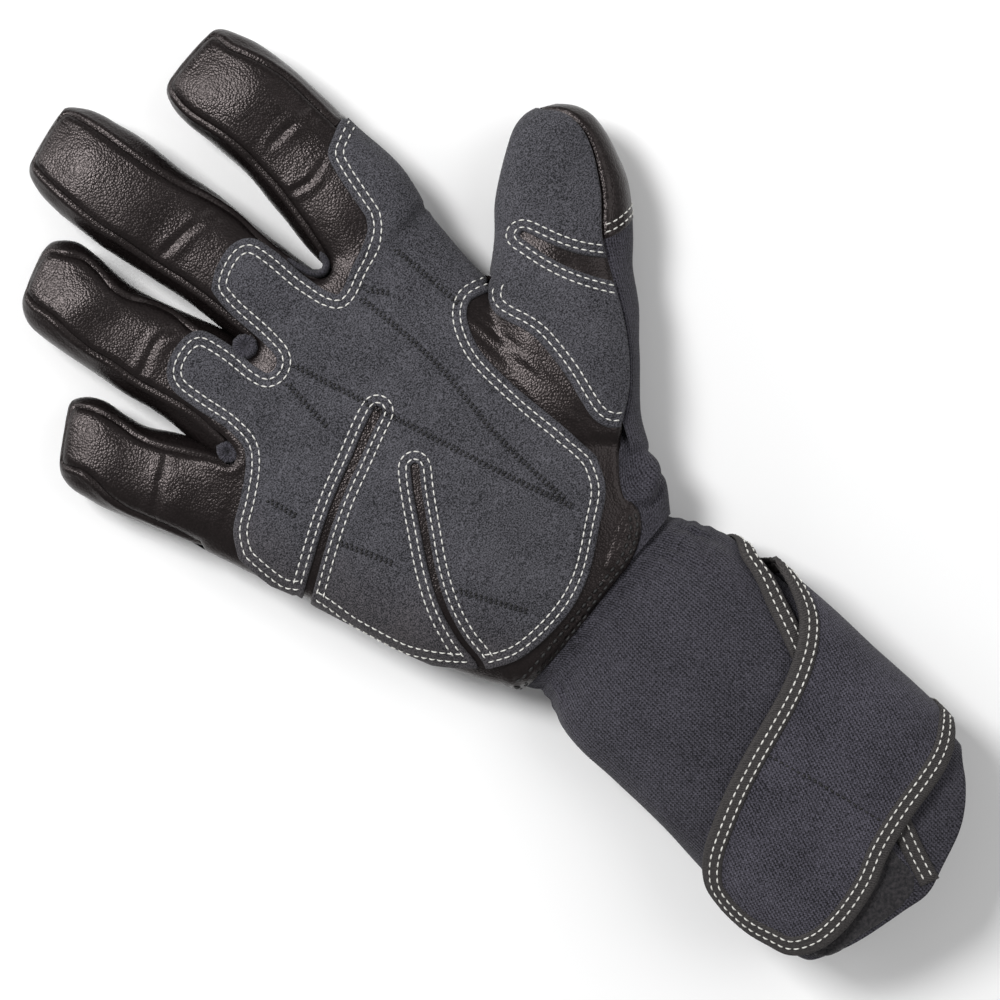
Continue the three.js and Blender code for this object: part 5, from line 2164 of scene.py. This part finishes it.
        inner = aside(outline, wide - 1.4, True)
        inner = inner[whole.contains(inner) & (whole.from_rim(inner) > wide - 1.5)]
        sheet = sheet_over("strap_knit", Region(inner), self.band.space, cloth, 1.0)
        sheet.put(self.finishes.strap, Slot.KNIT, ("wrist_strap",), self.wall)

        edge = aside(outline, wide, True)
        edge = edge[whole.contains(edge) & (whole.from_rim(edge) > wide - 0.1)]
        tape = Region(outline, [edge])

        def folded(points: Array, rim: Array) -> Array:
            """Rounds both edges of the tape and dips along its rows."""
            return self.tape_relief(rim, -self.tape_sink)

        piece = sheet_over("strap_tape", tape, self.band.space, folded, 0.75)
        piece.put(self.finishes.tape, Slot.BINDING, ("strap_binding",), self.tape_wall)
        rows = []
        for away in self.white_rows_at:
            line = aside(outline, away, True)
            rows += kept(line, whole.contains(line) & (whole.from_rim(line) > away - 0.12), 8)
        Sewing.STRAP_WHITE.put("strap_white_rows", rows, self.band.space, self.finishes)
        plain = [self.band.plane(curve(line, 0.8)) for line in self.STRAP_BLACK_ROWS]
        Sewing.STRAP_BLACK.put("strap_black_rows", plain, self.band.space, self.finishes)

    def build(self) -> None:
        """Makes every piece of the cuff."""
        self.sleeve()
        self.hem()
        self.wrap()
        self.pile()
        self.strap()


@dataclass(frozen=True)
class Studio:
    """A pale floor, soft lights and the camera straight above the glove."""

    middle: tuple[float, float] = (-10.2, -1.0)
    turn: float = -49.0
    wide: float = 290.0
    lens: float = 150.0
    sensor: float = 36.0
    focus_height: float = 20.0
    floor_half: float = 2.0
    pale: float = 0.93
    sky: float = 0.33

    # Each lamp's name, place and size in metres, and power in watts.
    LAMPS = (
        ("key", (-0.12, 0.82, 1.2), 0.42, 16),
        ("fill", (0.75, -0.55, 1.1), 1.0, 5.5),
        ("rim", (-0.3, 1.25, 0.42), 0.5, 5),
    )

    def lamp(self, name: str, place: tuple[float, float, float], size: float, power: float) -> None:
        """Adds a square soft light that points at the glove.

        Args:
            name: Its name.
            place: Where it stands, in metres.
            size: The length of its side, in metres.
            power: Its power, in watts.
        """
        data = bpy.data.lights.new(name, "AREA")
        data.energy = power
        data.size = size
        lamp = bpy.data.objects.new(name, data)
        lamp.location = place
        lamp.rotation_mode = "QUATERNION"
        lamp.rotation_quaternion = Vector(place).to_track_quat("Z", "Y")
        bpy.context.scene.collection.objects.link(lamp)

    def build(self) -> None:
        """Makes the floor, the lights and the camera."""
        half = self.floor_half
        corners = [(-half, -half, 0), (half, -half, 0), (half, half, 0), (-half, half, 0)]
        mesh = bpy.data.meshes.new("floor")
        mesh.from_pydata(corners, [], [(0, 1, 2, 3)])
        floor = bpy.data.objects.new("floor", mesh)
        bpy.context.scene.collection.objects.link(floor)
        g = Graph("pale_floor")
        mesh.materials.append(g.finish(Base_Color=(self.pale, self.pale, self.pale, 1), Roughness=0.9))
        world = bpy.data.worlds.new("studio")
        world.use_nodes = True
        sky = world.node_tree.nodes["Background"]
        sky.inputs["Color"].default_value = (1, 1, 1, 1)
        sky.inputs["Strength"].default_value = self.sky
        bpy.context.scene.world = world
        for lamp in self.LAMPS:
            self.lamp(*lamp)
        bpy.context.scene.view_settings.view_transform = "Standard"
        camera = bpy.data.cameras.new("camera")
        camera.lens, camera.sensor_width = self.lens, self.sensor
        seen = bpy.data.objects.new("camera", camera)
        distance = self.wide / 2 / (self.sensor / 2 / self.lens)
        seen.location = (self.middle[0] * MM, self.middle[1] * MM, (distance + self.focus_height) * MM)
        seen.rotation_euler = (0, 0, math.radians(self.turn))
        bpy.context.scene.collection.objects.link(seen)
        bpy.context.scene.camera = seen


def main() -> None:
    """Builds the glove and the studio."""
    logging.basicConfig(level=logging.INFO, format="%(name)s %(message)s")
    body = Body()
    finishes = Finishes()
    for part in (LeatherParts, ThumbParts, BackParts, SuedeParts, Cuff):
        part(body, finishes).build()
    Studio().build()


if __name__ == "__main__":
    main()
